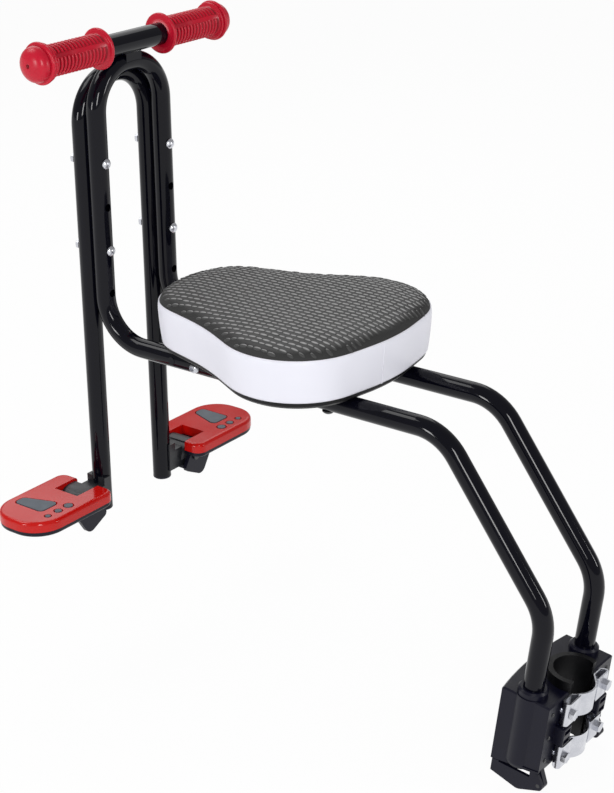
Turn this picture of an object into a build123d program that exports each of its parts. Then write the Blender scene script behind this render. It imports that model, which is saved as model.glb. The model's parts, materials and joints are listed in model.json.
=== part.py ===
from build123d import *
from math import cos, radians, sin, sqrt, tan
import os

os.makedirs("parts", exist_ok=True)

# Child seat that clamps to a bicycle's seat tube. Millimetres, +X forward, +Y left, +Z up.
# The origin is the centre of the seat-tube clamp.

# Clearances
seat_gap = 0.3
slip_gap = 0.1
pin_gap = 0.05
hole_gap = 0.3

# Tube stock
tube_od = 20.0
tube_wall = 1.5
bar_od = 22.2
bar_wall = 1.5

# Frame layout
frame_half_spacing = 48.0
clamp_tilt = 7.0
prong_offset = 16.4
prong_reach = 117.3
slope_run = 114.0
slope_rise = 154.6
rail_length = 408.7
rear_bend_radius = 52.0
front_bend_radius = 48.0
arch_rise = 279.0
arch_flat_half = 3.0
arch_step = 13.0
leg_drop = 195.2

# Bolted joint between the two arches
hole_rise = 51.5
hole_pitch = 45.0
hole_rows = 4
frame_bolt_d = 6.0
spare_hole_d = 8.0
frame_head_d = 10.5
frame_head_h = 4.0
frame_nut_flats = 9.5
frame_nut_h = 6.5
frame_nut_grip = 4.0

# Bolted joint in the rails
joint_setback = 113.0
joint_bolt_setback = 12.0
joint_rivet_lead = 19.0
joint_rivet_d = 8.0
sleeve_length = 70.0
sleeve_wall = 2.0
joint_bolt_d = 6.0
joint_head_d = 10.5
joint_head_h = 6.0
joint_socket_flats = 5.0
joint_socket_depth = 3.0
joint_nut_flats = 10.0
joint_nut_h = 5.0

# Handlebar and grips
bar_setback = 5.8
bar_half_length = 136.0
saddle_half_width = 11.0
saddle_plate = 3.0
saddle_spread = 11.0
saddle_height = 16.0
grip_inner_y = 43.7
grip_length = 98.0
grip_flange_d = 41.0
grip_flange_t = 4.0
grip_rim_radius = 1.5
grip_body_d = 28.4
grip_rib_d = 31.0
grip_rib_t = 2.6
grip_rib_count = 14
grip_nose_d = 35.0
grip_nose_length = 12.5
grip_nose_round = 9.0
grip_step_d = 38.0
grip_step_t = 2.6
grip_groove_d = 31.0
grip_groove_t = 1.2
grip_vent_d = 3.0

# Seat board and cushion
seat_rear_x = 199.0
seat_length = 268.0
seat_rear_radius = 208.0
seat_rear_sweep = 10.3
seat_corner_half = 121.2
seat_corner_radius = 71.4
seat_lobe_x = 99.9
seat_lobe_half = 121.2
seat_lobe_radius = 80.6
seat_waist_x = 164.6
seat_waist_half = 87.6
seat_waist_radius = 277.0
seat_nose_half = 62.8
seat_nose_radius = 57.8
seat_front_radius = 98.7
seat_front_sweep = 14.1
cushion_height = 47.0
cushion_draft = 4.0
cushion_edge_radius = 7.0
board_thickness = 6.5
board_inset = 5.5
board_edge = 2.5
board_bolt_lead = 45.0
board_bolt_pitch = 105.0
board_bolt_d = 6.0
board_head_d = 12.0
board_head_h = 4.0
tee_flange_d = 18.0
tee_flange_t = 1.5
tee_barrel_d = 9.0

# Footrests
footrest_rise = 36.0
footrest_width = 76.0
footrest_inboard = 12.5
footrest_outboard = 100.5
footrest_outer_radius = 33.0
footrest_inner_radius = 11.0
shell_height = 11.0
shell_edge_radius = 4.0
base_height = 5.5
base_inset = 0.8
base_edge_radius = 2.5
base_pocket_depth = 3.0
base_pocket_margin = 6.0
base_rib_t = 2.0
pivot_drop = 21.0
fold_gap = 2.5
tongue_width = 31.5
tongue_radius = 18.3
tongue_drop = 8.7
tongue_back = 8.0
neck_rise = 14.0
tongue_side_gap = 0.4
notch_gap = 3.4
ear_thickness = 4.6
ear_boss_radius = 8.5
ear_toe_radius = 9.0
ear_toe_out = 8.0
ear_toe_drop = 15.0
ear_root_out = 24.0
ear_root_radius = 6.0
ear_heel_in = 11.0
ear_heel_drop = 10.0
ear_heel_radius = 5.0
stop_web_t = 4.0
stop_web_length = 7.0
stop_web_in = 9.0
hinge_pin_d = 6.0
hinge_head_d = 8.0
hinge_head_t = 2.0
saddle_wall = 2.2
saddle_rise = 4.0
saddle_wrap = 9.5
plug_flange_t = 3.0
plug_length = 14.0

# Inlays of each footrest: a sole and three toes
inlay_depth = 2.0
inlay_gap = 0.7
inlay_proud = 0.3
sole_inner_out = 42.0
sole_outer_out = 71.5
sole_front_in = 56.0
sole_back = 13.0
sole_front = 28.0
sole_corner_radius = 6.0
toe_back = 24.0
toe_out = 43.0
toe_pitch = 15.0
toe_d = 12.0
toe_shrink = 1.8
toe_count = 3
base_screw_d = 6.0
base_screw_h = 1.6

# Clamp block, in the frame of the tilted clamp axis
bore_radius = 21.0
liner_wall = 4.6
liner_bottom = -42.0
liner_top = 46.0
liner_rim = 0.8
liner_rim_height = 5.0
block_top = 35.5
block_bottom = -38.5
block_front_drop = 7.5
block_side = 12.0
block_rear = -9.0
block_front = 42.0
block_bow = 5.0
block_edge_radius = 2.0
block_chamfer = 1.5
lip_length = 24.0
lip_height = 2.4
lip_proud = 1.0
socket_radius = 15.5
socket_depth = 72.0
socket_floor = 9.0
socket_round = 8.0
collar_d = 29.0
collar_height = 7.0
collar_lip = 2.0
lug_width = 15.0
lug_height = 20.0
lug_depth = 10.0
lug_side_gap = 1.0
lug_window_height = 5.0
lug_window_depth = 2.0
lug_round = 1.5
cover_width = 12.0
cover_height = 62.0
cover_thickness = 2.0
cover_edge_margin = 2.5
cover_screw_d = 4.5
cover_screw_h = 1.5
cover_screw_pitch = 26.0

# Straps
strap_thickness = 1.6
strap_height = 24.8
strap_spacing = 48.9
strap_middle = -4.0
strap_leave_angle = 38.0
ear_reach = 40.0
ear_splay = 5.0
ear_depth = 7.5
ear_bend_radius = 2.6
ear_end_gap = 1.2
strap_bolt_y = 32.3
strap_bolt_d = 6.0
strap_head_flats = 10.0
strap_head_h = 4.5
strap_bolt_grip = 24.0
insert_d = 9.0
insert_length = 12.0

# Release lever
lever_thickness = 3.5
lever_side_gap = 0.5
lever_pivot_x = -10.5
lever_pivot_drop = 13.3
lever_barrel_radius = 4.9
lever_pin_d = 4.0
lever_front = 40.3
lever_tip_height = 13.0
lever_belly_x = 11.0
lever_belly_drop = 27.0
lever_belly_radius = 9.0
lever_clear = 1.2
lever_tip_length = 5.0
finger_bar_back = 27.0
finger_bar_depth = 11.0
finger_bar_t = 4.5
hinge_lug_t = 6.0
hinge_lug_length = 14.0

# Places that follow from the sizes above
tilt = radians(clamp_tilt)
clamp = Plane(origin=(0, 0, 0), x_dir=(cos(tilt), 0, sin(tilt)), z_dir=(-sin(tilt), 0, cos(tilt)))
lower_x = prong_offset * cos(tilt) - prong_reach * sin(tilt)
lower_z = prong_offset * sin(tilt) + prong_reach * cos(tilt)
upper_x = lower_x + slope_run
rail_z = lower_z + slope_rise
leg_x = upper_x + rail_length
foot_x = leg_x + tube_od + seat_gap
arch_z = rail_z + arch_rise
arch_bend_radius = frame_half_spacing - arch_flat_half
foot_arch_z = arch_z - arch_step
leg_bottom = rail_z - leg_drop
joint_x = leg_x - joint_setback
tube_r = tube_od / 2
bore_r = tube_r - tube_wall
bar_r = bar_od / 2
bar_x = leg_x - bar_setback
bar_z = arch_z + sqrt((tube_r + bar_r + seat_gap) ** 2 - bar_setback ** 2)
prong_end = block_top - socket_depth
block_half_width = frame_half_spacing + block_side


def clamp_point(x, y, z):
    """Point given in the clamp's own frame, in the seat's frame."""
    return clamp.from_local_coords(Vector(x, y, z))


def tube(points, radii, outer, wall):
    """Round tube along straight runs joined by bends."""
    with BuildPart() as made:
        with BuildLine() as path:
            FilletPolyline(*points, radius=radii)
        with BuildSketch(Plane(path.line @ 0, z_dir=path.line % 0)):
            Circle(outer / 2)
            Circle(outer / 2 - wall, mode=Mode.SUBTRACT)
        sweep(path=path.line)
    return made.part


def rod(points, radii, diameter):
    """Solid round bar along straight runs joined by bends."""
    with BuildPart() as made:
        with BuildLine() as path:
            FilletPolyline(*points, radius=radii)
        with BuildSketch(Plane(path.line @ 0, z_dir=path.line % 0)):
            Circle(diameter / 2)
        sweep(path=path.line)
    return made.part


def dome_bolt(head_d, head_h, shank_d, shank_length):
    """Domed bolt: the head stands on the ground plane and the shank runs down from it."""
    with BuildPart() as made:
        with BuildSketch(Plane.XZ):
            with BuildLine():
                rim = head_h / 4
                TangentArc((0, head_h), (head_d / 2, rim), tangent=(1, 0))
                Polyline((head_d / 2, rim), (head_d / 2, 0), (shank_d / 2, 0), (shank_d / 2, -shank_length))
                Polyline((shank_d / 2, -shank_length), (0, -shank_length), (0, head_h))
            make_face()
        revolve(axis=Axis.Z)
    return made.part


def hex_bolt(flats, head_h, shank_d, shank_length):
    """Hexagon bolt: the head stands on the ground plane and the shank runs down from it."""
    with BuildPart() as made:
        with BuildSketch():
            RegularPolygon(flats / 2, 6, major_radius=False)
        extrude(amount=head_h)
        with BuildSketch():
            Circle(shank_d / 2)
        extrude(amount=-shank_length)
    return made.part


def hex_nut(flats, height, hole_d):
    """Hexagon nut standing on the ground plane."""
    with BuildPart() as made:
        with BuildSketch():
            RegularPolygon(flats / 2, 6, major_radius=False)
            Circle(hole_d / 2, mode=Mode.SUBTRACT)
        extrude(amount=height)
    return made.part


def cap_nut(flats, height, hole_d, hole_depth):
    """Domed nut standing on the ground plane, with a blind hole."""
    with BuildPart() as made:
        with BuildSketch():
            RegularPolygon(flats / 2, 6, major_radius=False)
        extrude(amount=height / 2)
        with BuildSketch(Plane.XZ):
            with BuildLine():
                TangentArc((0, height), (flats / 2, height / 3), tangent=(1, 0))
                Polyline((flats / 2, height / 3), (flats / 2, 0), (0, 0), (0, height))
            make_face()
        revolve(axis=Axis.Z)
        with BuildSketch():
            Circle(hole_d / 2)
        extrude(amount=hole_depth, mode=Mode.SUBTRACT)
    return made.part


def ring(outer_d, inner_d, height):
    """Plain ring standing on the ground plane."""
    with BuildPart() as made:
        with BuildSketch():
            Circle(outer_d / 2)
            Circle(inner_d / 2, mode=Mode.SUBTRACT)
        extrude(amount=height)
    return made.part


def placed(piece, planes):
    """Copies of a piece, one on each plane."""
    with BuildPart(*planes) as made:
        add(piece)
    return made.part


def other_side(piece):
    """The piece's twin on the right-hand side."""
    with BuildPart() as made:
        mirror(piece, about=Plane.XZ)
    return made.part


def write(piece, name):
    """Label a finished piece and export it."""
    piece.label = name
    export_step(piece, "parts/" + name + ".step")


# Rows of holes in the seat frame's legs: the bolts use every second row
hole_zs = [rail_z + hole_rise + row * hole_pitch for row in range(hole_rows)]
bolt_zs = hole_zs[1::2]
sides = (1, -1)
leg_spares = [(side * frame_half_spacing, z) for side in sides for z in hole_zs[0::2]]
leg_bolts = [(side * frame_half_spacing, z) for side in sides for z in bolt_zs]
frame_hole_d = frame_bolt_d + hole_gap

# Rail joint places
joint_bolt_x = joint_x - joint_bolt_setback
rivet_x = joint_x + joint_rivet_lead
joint_hole_d = joint_bolt_d + hole_gap
rivet_hole_d = joint_rivet_d + slip_gap

# Seat board places
board_z = rail_z + tube_r + seat_gap
board_bolt_xs = [seat_rear_x + board_bolt_lead, seat_rear_x + board_bolt_lead + board_bolt_pitch]
board_bolts_at = [(x, side * frame_half_spacing) for x in board_bolt_xs for side in sides]
board_hole_d = board_bolt_d + hole_gap

# Front frame tube: two stubs, two legs and the arch
stub_ends = [(joint_x, side * frame_half_spacing, rail_z) for side in sides]
leg_feet = [(leg_x, side * frame_half_spacing, rail_z) for side in sides]
arch_corners = [(leg_x, side * frame_half_spacing, arch_z) for side in sides]
front_path = [stub_ends[0], leg_feet[0], *arch_corners, leg_feet[1], stub_ends[1]]
front_radii = [front_bend_radius, arch_bend_radius, arch_bend_radius, front_bend_radius]
with BuildPart() as front_frame_tube:
    add(tube(front_path, front_radii, tube_od, tube_wall))
    with BuildSketch(Plane.YZ.offset(leg_x - tube_od)):
        with Locations(*leg_bolts):
            Circle(frame_hole_d / 2)
        with Locations(*leg_spares):
            Circle(spare_hole_d / 2)
    extrude(amount=2 * tube_od, mode=Mode.SUBTRACT)
    for side in sides:
        with BuildSketch(Plane.XZ.offset(-side * frame_half_spacing)):
            with Locations((rivet_x, rail_z)):
                Circle(rivet_hole_d / 2)
        extrude(amount=-side * tube_od, mode=Mode.SUBTRACT)
write(front_frame_tube.part, "front_frame_tube")

# Rear tubes: level rail, slope and prong
prong_tip = clamp_point(prong_offset, frame_half_spacing, prong_end)
rear_path = [
    (joint_x, frame_half_spacing, rail_z),
    (upper_x, frame_half_spacing, rail_z),
    (lower_x, frame_half_spacing, lower_z),
    prong_tip,
]
with BuildPart() as left_rear_tube:
    add(tube(rear_path, [rear_bend_radius, rear_bend_radius], tube_od, tube_wall))
    with BuildSketch(Plane.XZ.offset(-frame_half_spacing - tube_od)):
        with Locations((joint_bolt_x, rail_z)):
            Circle(joint_hole_d / 2)
    extrude(amount=2 * tube_od, mode=Mode.SUBTRACT)
    with BuildSketch(Plane.XY.offset(rail_z - tube_od)):
        with Locations(*[(x, frame_half_spacing) for x in board_bolt_xs]):
            Circle(board_hole_d / 2)
    extrude(amount=2 * tube_od, mode=Mode.SUBTRACT)
write(left_rear_tube.part, "left_rear_tube")
write(other_side(left_rear_tube.part), "right_rear_tube")

# Sleeves inside the rail joints
sleeve_r = bore_r - slip_gap
with BuildPart() as joint_sleeves:
    for side in sides:
        with BuildSketch(Plane.YZ.offset(joint_x - sleeve_length / 2)):
            with Locations((side * frame_half_spacing, rail_z)):
                Circle(sleeve_r)
                Circle(sleeve_r - sleeve_wall, mode=Mode.SUBTRACT)
        extrude(amount=sleeve_length)
    with BuildSketch(Plane.XZ.offset(-frame_half_spacing - tube_od)):
        with Locations((joint_bolt_x, rail_z)):
            Circle(joint_hole_d / 2)
    extrude(amount=2 * (frame_half_spacing + tube_od), mode=Mode.SUBTRACT)
    for side in sides:
        with BuildSketch(Plane.XZ.offset(-side * frame_half_spacing)):
            with Locations((rivet_x, rail_z)):
                Circle(rivet_hole_d / 2)
        extrude(amount=-side * tube_od, mode=Mode.SUBTRACT)
write(joint_sleeves.part, "joint_sleeves")

# Bolts, nuts and flush rivets of the rail joints
rail_side = frame_half_spacing + tube_r
joint_out = [Plane((joint_bolt_x, side * rail_side, rail_z), z_dir=(0, side, 0)) for side in sides]
joint_in = [plane.offset(-tube_od) for plane in joint_out]
with BuildPart() as joint_bolt:
    add(dome_bolt(joint_head_d, joint_head_h, joint_bolt_d, tube_od + joint_nut_h))
    with BuildSketch(Plane.XY.offset(joint_head_h)):
        RegularPolygon(joint_socket_flats / 2, 6, major_radius=False)
    extrude(amount=-joint_socket_depth, mode=Mode.SUBTRACT)
joint_nut = hex_nut(joint_nut_flats, joint_nut_h, joint_bolt_d + 2 * slip_gap)
write(placed(joint_bolt.part, joint_out), "joint_bolts")
write(placed(joint_nut, [plane.offset(-joint_nut_h) for plane in joint_in]), "joint_nuts")
rivet_height = tube_wall + sleeve_wall + seat_gap
with BuildPart() as rivet:
    Cylinder(joint_rivet_d / 2, rivet_height, align=(Align.CENTER, Align.CENTER, Align.MAX))
rivet_out = [Plane((rivet_x, side * (rail_side + seat_gap), rail_z), z_dir=(0, side, 0)) for side in sides]
write(placed(rivet.part, rivet_out), "joint_rivets")

# Footrest tube: a lower arch bolted to the front of the first
foot_corners = [(foot_x, side * frame_half_spacing, foot_arch_z) for side in sides]
foot_ends = [(foot_x, side * frame_half_spacing, leg_bottom) for side in sides]
foot_path = [foot_ends[0], *foot_corners, foot_ends[1]]
footrest_top = leg_bottom + footrest_rise
pivot_z = footrest_top - pivot_drop
pivot_y = frame_half_spacing + tube_r + fold_gap + pivot_drop
with BuildPart() as footrest_tube:
    add(tube(foot_path, [arch_bend_radius, arch_bend_radius], tube_od, tube_wall))
    with BuildSketch(Plane.YZ.offset(foot_x - tube_od)):
        with Locations(*leg_bolts):
            Circle(frame_hole_d / 2)
    extrude(amount=2 * tube_od, mode=Mode.SUBTRACT)
write(footrest_tube.part, "footrest_tube")

# Bolts and nuts that join the two arches: heads at the rear, nuts at the front
frame_stack = 2 * tube_od + seat_gap
head_planes = [Plane((leg_x - tube_r, y, z), z_dir=(-1, 0, 0)) for y, z in leg_bolts]
nut_planes = [Plane((foot_x + tube_r, y, z), z_dir=(1, 0, 0)) for y, z in leg_bolts]
frame_bolt = dome_bolt(frame_head_d, frame_head_h, frame_bolt_d, frame_stack + frame_nut_grip)
frame_nut = cap_nut(frame_nut_flats, frame_nut_h, frame_bolt_d + 2 * slip_gap, frame_nut_grip + slip_gap)
write(placed(frame_bolt, head_planes), "frame_bolts")
write(placed(frame_nut, nut_planes), "frame_nuts")

# Plugs in the lower ends of the legs
with BuildPart() as plug:
    Cylinder(tube_r, plug_flange_t, align=(Align.CENTER, Align.CENTER, Align.MAX))
    fillet(plug.edges().group_by(Axis.Z)[0], plug_flange_t * 0.6)
    Cylinder(bore_r - slip_gap, plug_length, align=(Align.CENTER, Align.CENTER, Align.MIN))
write(placed(plug.part, [Plane(end) for end in foot_ends]), "leg_plugs")

# Handlebar tube
bar_axis = Axis((bar_x, 0, bar_z), (0, 1, 0))
bar_end = Plane((bar_x, -bar_half_length, bar_z), z_dir=(0, 1, 0))
write(placed(ring(bar_od, bar_od - 2 * bar_wall, 2 * bar_half_length), [bar_end]), "handlebar_tube")

# Saddle: two plates shaped to the bar above and the arch below
saddle_x = (leg_x + bar_x) / 2
with BuildPart() as handlebar_saddle:
    for side in sides:
        with BuildSketch(Plane.YZ.offset(saddle_x + side * saddle_spread / 2 - saddle_plate / 2)):
            with Locations((0, bar_z)):
                Rectangle(2 * saddle_half_width, bar_r + saddle_height, align=(Align.CENTER, Align.MAX))
        extrude(amount=saddle_plate)
    arch_top = [leg_feet[0], *arch_corners, leg_feet[1]]
    add(rod(arch_top, arch_bend_radius, tube_od + 2 * slip_gap), mode=Mode.SUBTRACT)
    with BuildSketch(bar_end):
        Circle(bar_r + slip_gap)
    extrude(amount=2 * bar_half_length, mode=Mode.SUBTRACT)
    with BuildSketch(Plane.YZ.offset(saddle_x - tube_od)):
        with Locations((0, arch_z - arch_bend_radius)):
            Circle(arch_bend_radius)
    extrude(amount=2 * tube_od, mode=Mode.SUBTRACT)
write(handlebar_saddle.part, "handlebar_saddle")

# Grips: flanged rubber sleeves with rings round the body and a domed nose
grip_end = grip_inner_y + grip_length
grip_nose_y = grip_end - grip_nose_length
grip_flange_y = grip_nose_y - grip_groove_t - grip_flange_t
grip_step_y = grip_flange_y - grip_groove_t - grip_step_t
rib_start = grip_inner_y + grip_flange_t
rib_pitch = (grip_step_y - rib_start) / grip_rib_count
grip_plane = Plane((bar_x, 0, bar_z), x_dir=(0, 1, 0), z_dir=(1, 0, 0))
low = (Align.MIN, Align.MIN)
with BuildPart() as left_grip:
    with BuildSketch(grip_plane):
        with Locations((grip_inner_y, 0)):
            Rectangle(grip_flange_t, grip_flange_d / 2, align=low)
            Rectangle(grip_length - grip_nose_length, grip_body_d / 2, align=low)
        with Locations((grip_step_y, 0)):
            Rectangle(grip_step_t, grip_step_d / 2, align=low)
            Rectangle(grip_nose_y - grip_step_y, grip_groove_d / 2, align=low)
        with Locations((grip_flange_y, 0)):
            Rectangle(grip_flange_t, grip_flange_d / 2, align=low)
        with Locations((grip_nose_y, 0)):
            Rectangle(grip_nose_length, grip_nose_d / 2, align=low)
        with Locations(*[(rib_start + (row + 0.5) * rib_pitch, 0) for row in range(grip_rib_count)]):
            Rectangle(grip_rib_t, grip_rib_d / 2, align=(Align.CENTER, Align.MIN))
    revolve(axis=bar_axis)
    nose = left_grip.faces().sort_by(Axis.Y)[-1]
    fillet(nose.edges(), grip_nose_round)
    rounds = left_grip.edges().filter_by(GeomType.CIRCLE)
    rims = rounds.filter_by(lambda edge: abs(edge.radius - grip_flange_d / 2) < slip_gap)
    fillet(rims, grip_rim_radius)
    with BuildSketch(Plane((bar_x, 0, bar_z), z_dir=(0, 1, 0))):
        Circle(bar_r + slip_gap)
    extrude(amount=bar_half_length + seat_gap, mode=Mode.SUBTRACT)
    with BuildSketch(Plane((bar_x, 0, bar_z), z_dir=(0, 1, 0))):
        Circle(grip_vent_d / 2)
    extrude(amount=grip_end + seat_gap, mode=Mode.SUBTRACT)
write(left_grip.part, "left_grip")
write(other_side(left_grip.part), "right_grip")


def seat_outline():
    """Outline of the seat in plan: a wide rear lobe that narrows to the front."""
    rear_sweep = radians(seat_rear_sweep)
    front_sweep = radians(seat_front_sweep)
    rear_tip = -seat_rear_radius * (1 / cos(rear_sweep) - 1)
    front_tip = seat_length + seat_front_radius * (1 / cos(front_sweep) - 1)
    corners = [
        (rear_tip + seat_corner_half * tan(rear_sweep), seat_corner_half, seat_corner_radius),
        (seat_lobe_x, seat_lobe_half, seat_lobe_radius),
        (seat_waist_x, seat_waist_half, seat_waist_radius),
        (front_tip - seat_nose_half * tan(front_sweep), seat_nose_half, seat_nose_radius),
    ]
    left = [(seat_rear_x + x, half) for x, half, _ in corners]
    right = [(x, -y) for x, y in reversed(left)]
    radii = [radius for _, _, radius in corners]
    with BuildSketch() as outline:
        with BuildLine():
            FilletPolyline(
                (seat_rear_x + rear_tip, 0),
                *left,
                (seat_rear_x + front_tip, 0),
                *right,
                radius=[seat_rear_radius, *radii, seat_front_radius, *reversed(radii)],
                close=True,
            )
        make_face()
    return outline.sketch


# Seat board with recesses for the tee nuts
board_plane = Plane.XY.offset(board_z)
with BuildPart() as seat_board:
    with BuildSketch(board_plane):
        add(seat_outline())
        offset(amount=-board_inset, mode=Mode.REPLACE)
    extrude(amount=board_thickness)
    chamfer(seat_board.edges().group_by(Axis.Z)[0], board_edge)
    with BuildSketch(board_plane):
        with Locations(*board_bolts_at):
            Circle(tee_barrel_d / 2 + slip_gap)
    extrude(amount=board_thickness, mode=Mode.SUBTRACT)
    with BuildSketch(board_plane.offset(board_thickness)):
        with Locations(*board_bolts_at):
            Circle(tee_flange_d / 2 + slip_gap)
    extrude(amount=-tee_flange_t, mode=Mode.SUBTRACT)
write(seat_board.part, "seat_board")

# Tee nuts and the bolts that come up through the rails
with BuildPart() as tee_nut:
    add(ring(tee_flange_d, board_bolt_d + 2 * slip_gap, tee_flange_t))
    with BuildSketch():
        Circle(tee_barrel_d / 2)
        Circle(board_bolt_d / 2 + slip_gap, mode=Mode.SUBTRACT)
    extrude(amount=-(board_thickness - tee_flange_t))
tee_z = board_z + board_thickness - tee_flange_t
write(placed(tee_nut.part, [Plane((x, y, tee_z)) for x, y in board_bolts_at]), "tee_nuts")
board_bolt = dome_bolt(board_head_d, board_head_h, board_bolt_d, tube_od + seat_gap + board_thickness)
rail_under = [Plane((x, y, rail_z - tube_r), z_dir=(0, 0, -1)) for x, y in board_bolts_at]
write(placed(board_bolt, rail_under), "board_bolts")

# Cushion
with BuildPart() as seat_cushion:
    with BuildSketch(Plane.XY.offset(board_z + board_thickness + seat_gap + cushion_height)):
        add(seat_outline())
    extrude(amount=-cushion_height, taper=cushion_draft)
    fillet(seat_cushion.edges().group_by(Axis.Z)[-1], cushion_edge_radius)
write(seat_cushion.part, "seat_cushion")

# Footrest places: the plane lies on the top face, over the hinge
rest = Plane((foot_x, pivot_y, footrest_top))
across = Plane((foot_x, pivot_y, pivot_z), x_dir=(0, 1, 0), z_dir=(1, 0, 0))
footrest_middle = (footrest_outboard - footrest_inboard) / 2
footrest_length = footrest_outboard + footrest_inboard
tongue_half = tongue_width / 2
notch_half = tongue_half + tongue_side_gap
notch_out = tongue_radius + notch_gap
leg_out = frame_half_spacing - pivot_y
ear_outer = notch_half + ear_thickness
toes = [(toe_out + row * toe_pitch, toe_d / 2 - row * toe_shrink / 2) for row in range(toe_count)]
pocket_in = notch_out + base_pocket_margin
pocket_out = footrest_outboard - base_pocket_margin - footrest_outer_radius / 3
pocket_width = footrest_width - 2 * footrest_inner_radius
screw_ys = (pocket_in + base_screw_d, pocket_out - base_screw_d)
base_screws_at = [(side * (pocket_width / 2 - base_screw_d), y) for side in sides for y in screw_ys]
base_screw_shank = base_screw_d / 2
screw_length = base_height - base_pocket_depth + shell_height / 2


def footrest_plan(inset):
    """Outline of the footrest in plan, with a round outer end."""
    with BuildSketch() as plan:
        with Locations((0, footrest_middle)):
            Rectangle(footrest_width - 2 * inset, footrest_length - 2 * inset)
        fillet(plan.vertices().group_by(Axis.Y)[-1], footrest_outer_radius - inset)
        fillet(plan.vertices().group_by(Axis.Y)[0], footrest_inner_radius - inset)
    return plan.sketch


def inlay_plan(gap):
    """Sole and three toes in plan, shrunk by a gap."""
    with BuildSketch() as plan:
        with BuildLine():
            Polyline(
                (-sole_back, sole_inner_out),
                (-sole_back, sole_outer_out),
                (sole_front, sole_outer_out),
                (sole_front, sole_front_in),
                close=True,
            )
        make_face()
        fillet(plan.vertices(), sole_corner_radius)
        for out, radius in toes:
            with Locations((-toe_back, out)):
                Circle(radius)
        offset(amount=-gap, mode=Mode.REPLACE)
    return plan.sketch


# Footrest shell: flat top with a rounded rim, a notch for the tongue and pockets for the inlays
with BuildPart() as left_footrest_shell:
    with BuildSketch(rest.offset(-shell_height)):
        add(footrest_plan(0))
    extrude(amount=shell_height)
    fillet(left_footrest_shell.edges().group_by(Axis.Z)[-1], shell_edge_radius)
    with BuildSketch(rest):
        with Locations((0, -footrest_inboard)):
            Rectangle(2 * notch_half, footrest_inboard + notch_out, align=(Align.CENTER, Align.MIN))
    extrude(amount=-shell_height, mode=Mode.SUBTRACT)
    with BuildSketch(rest):
        add(inlay_plan(0))
    extrude(amount=-inlay_depth, mode=Mode.SUBTRACT)
    with BuildSketch(rest.offset(-shell_height)):
        with Locations(*base_screws_at):
            Circle(base_screw_shank / 2 + slip_gap)
    extrude(amount=shell_height / 2 + slip_gap, mode=Mode.SUBTRACT)
write(left_footrest_shell.part, "left_footrest_shell")
write(other_side(left_footrest_shell.part), "right_footrest_shell")

# Inlays
with BuildPart() as left_footrest_inlays:
    with BuildSketch(rest.offset(-inlay_depth)):
        add(inlay_plan(inlay_gap))
    extrude(amount=inlay_depth + inlay_proud)
write(left_footrest_inlays.part, "left_footrest_inlays")
write(other_side(left_footrest_inlays.part), "right_footrest_inlays")

# Footrest base: tray with a ribbed underside, two hinge ears and a stop under the tongue
base_drop = shell_height + base_height
base_under = base_drop - pivot_drop
stop_web_z = tongue_drop + seat_gap + stop_web_t / 2
with BuildPart() as left_footrest_base:
    with BuildSketch(rest.offset(-base_drop)):
        add(footrest_plan(base_inset))
    extrude(amount=base_height)
    fillet(left_footrest_base.edges().group_by(Axis.Z)[0], base_edge_radius)
    with BuildSketch(rest.offset(-base_drop)):
        with Locations((0, (pocket_in + pocket_out) / 2)):
            Rectangle(pocket_width, pocket_out - pocket_in)
            Rectangle(base_rib_t, footrest_length, mode=Mode.SUBTRACT)
            Rectangle(footrest_width, base_rib_t, mode=Mode.SUBTRACT)
    extrude(amount=base_pocket_depth, mode=Mode.SUBTRACT)
    for side in sides:
        with BuildSketch(across.offset(side * ear_outer)):
            with BuildSketch(mode=Mode.PRIVATE) as ear:
                Circle(ear_boss_radius)
                with Locations((ear_toe_out, -ear_toe_drop)):
                    Circle(ear_toe_radius)
                with Locations((ear_root_out, -base_under)):
                    Circle(ear_root_radius)
                with Locations((-ear_heel_in, -ear_heel_drop)):
                    Circle(ear_heel_radius)
                with Locations((-stop_web_in, -stop_web_z)):
                    Circle(stop_web_t / 2)
                make_hull()
                with Locations((0, -base_under + base_height / 2)):
                    Rectangle(
                        footrest_length,
                        footrest_length,
                        align=(Align.CENTER, Align.MIN),
                        mode=Mode.SUBTRACT,
                    )
            add(ear.sketch)
        extrude(amount=-side * ear_thickness)
    with BuildSketch(across.offset(-ear_outer)):
        with Locations((-stop_web_in, -stop_web_z)):
            Rectangle(stop_web_length, stop_web_t)
    extrude(amount=2 * ear_outer)
    with BuildSketch(rest.offset(-shell_height)):
        with Locations((0, -footrest_inboard)):
            Rectangle(2 * notch_half, footrest_inboard + notch_out, align=(Align.CENTER, Align.MIN))
    extrude(amount=-base_height, mode=Mode.SUBTRACT)
    with BuildSketch(across.offset(-footrest_width)):
        Circle(hinge_pin_d / 2 + pin_gap)
    extrude(amount=2 * footrest_width, mode=Mode.SUBTRACT)
    with BuildSketch(rest.offset(-base_drop)):
        with Locations(*base_screws_at):
            Circle(base_screw_shank / 2 + slip_gap)
    extrude(amount=base_height, mode=Mode.SUBTRACT)
write(left_footrest_base.part, "left_footrest_base")
write(other_side(left_footrest_base.part), "right_footrest_base")

# Screws under each footrest
base_screw = dome_bolt(base_screw_d, base_screw_h, base_screw_shank, screw_length)
screw_floor = rest.offset(-base_drop + base_pocket_depth)
screw_planes = [
    Plane(screw_floor.from_local_coords(Vector(x, y, 0)), z_dir=(0, 0, -1)) for x, y in base_screws_at
]
left_footrest_screws = placed(base_screw, screw_planes)
write(left_footrest_screws, "left_footrest_screws")
write(other_side(left_footrest_screws), "right_footrest_screws")

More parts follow.
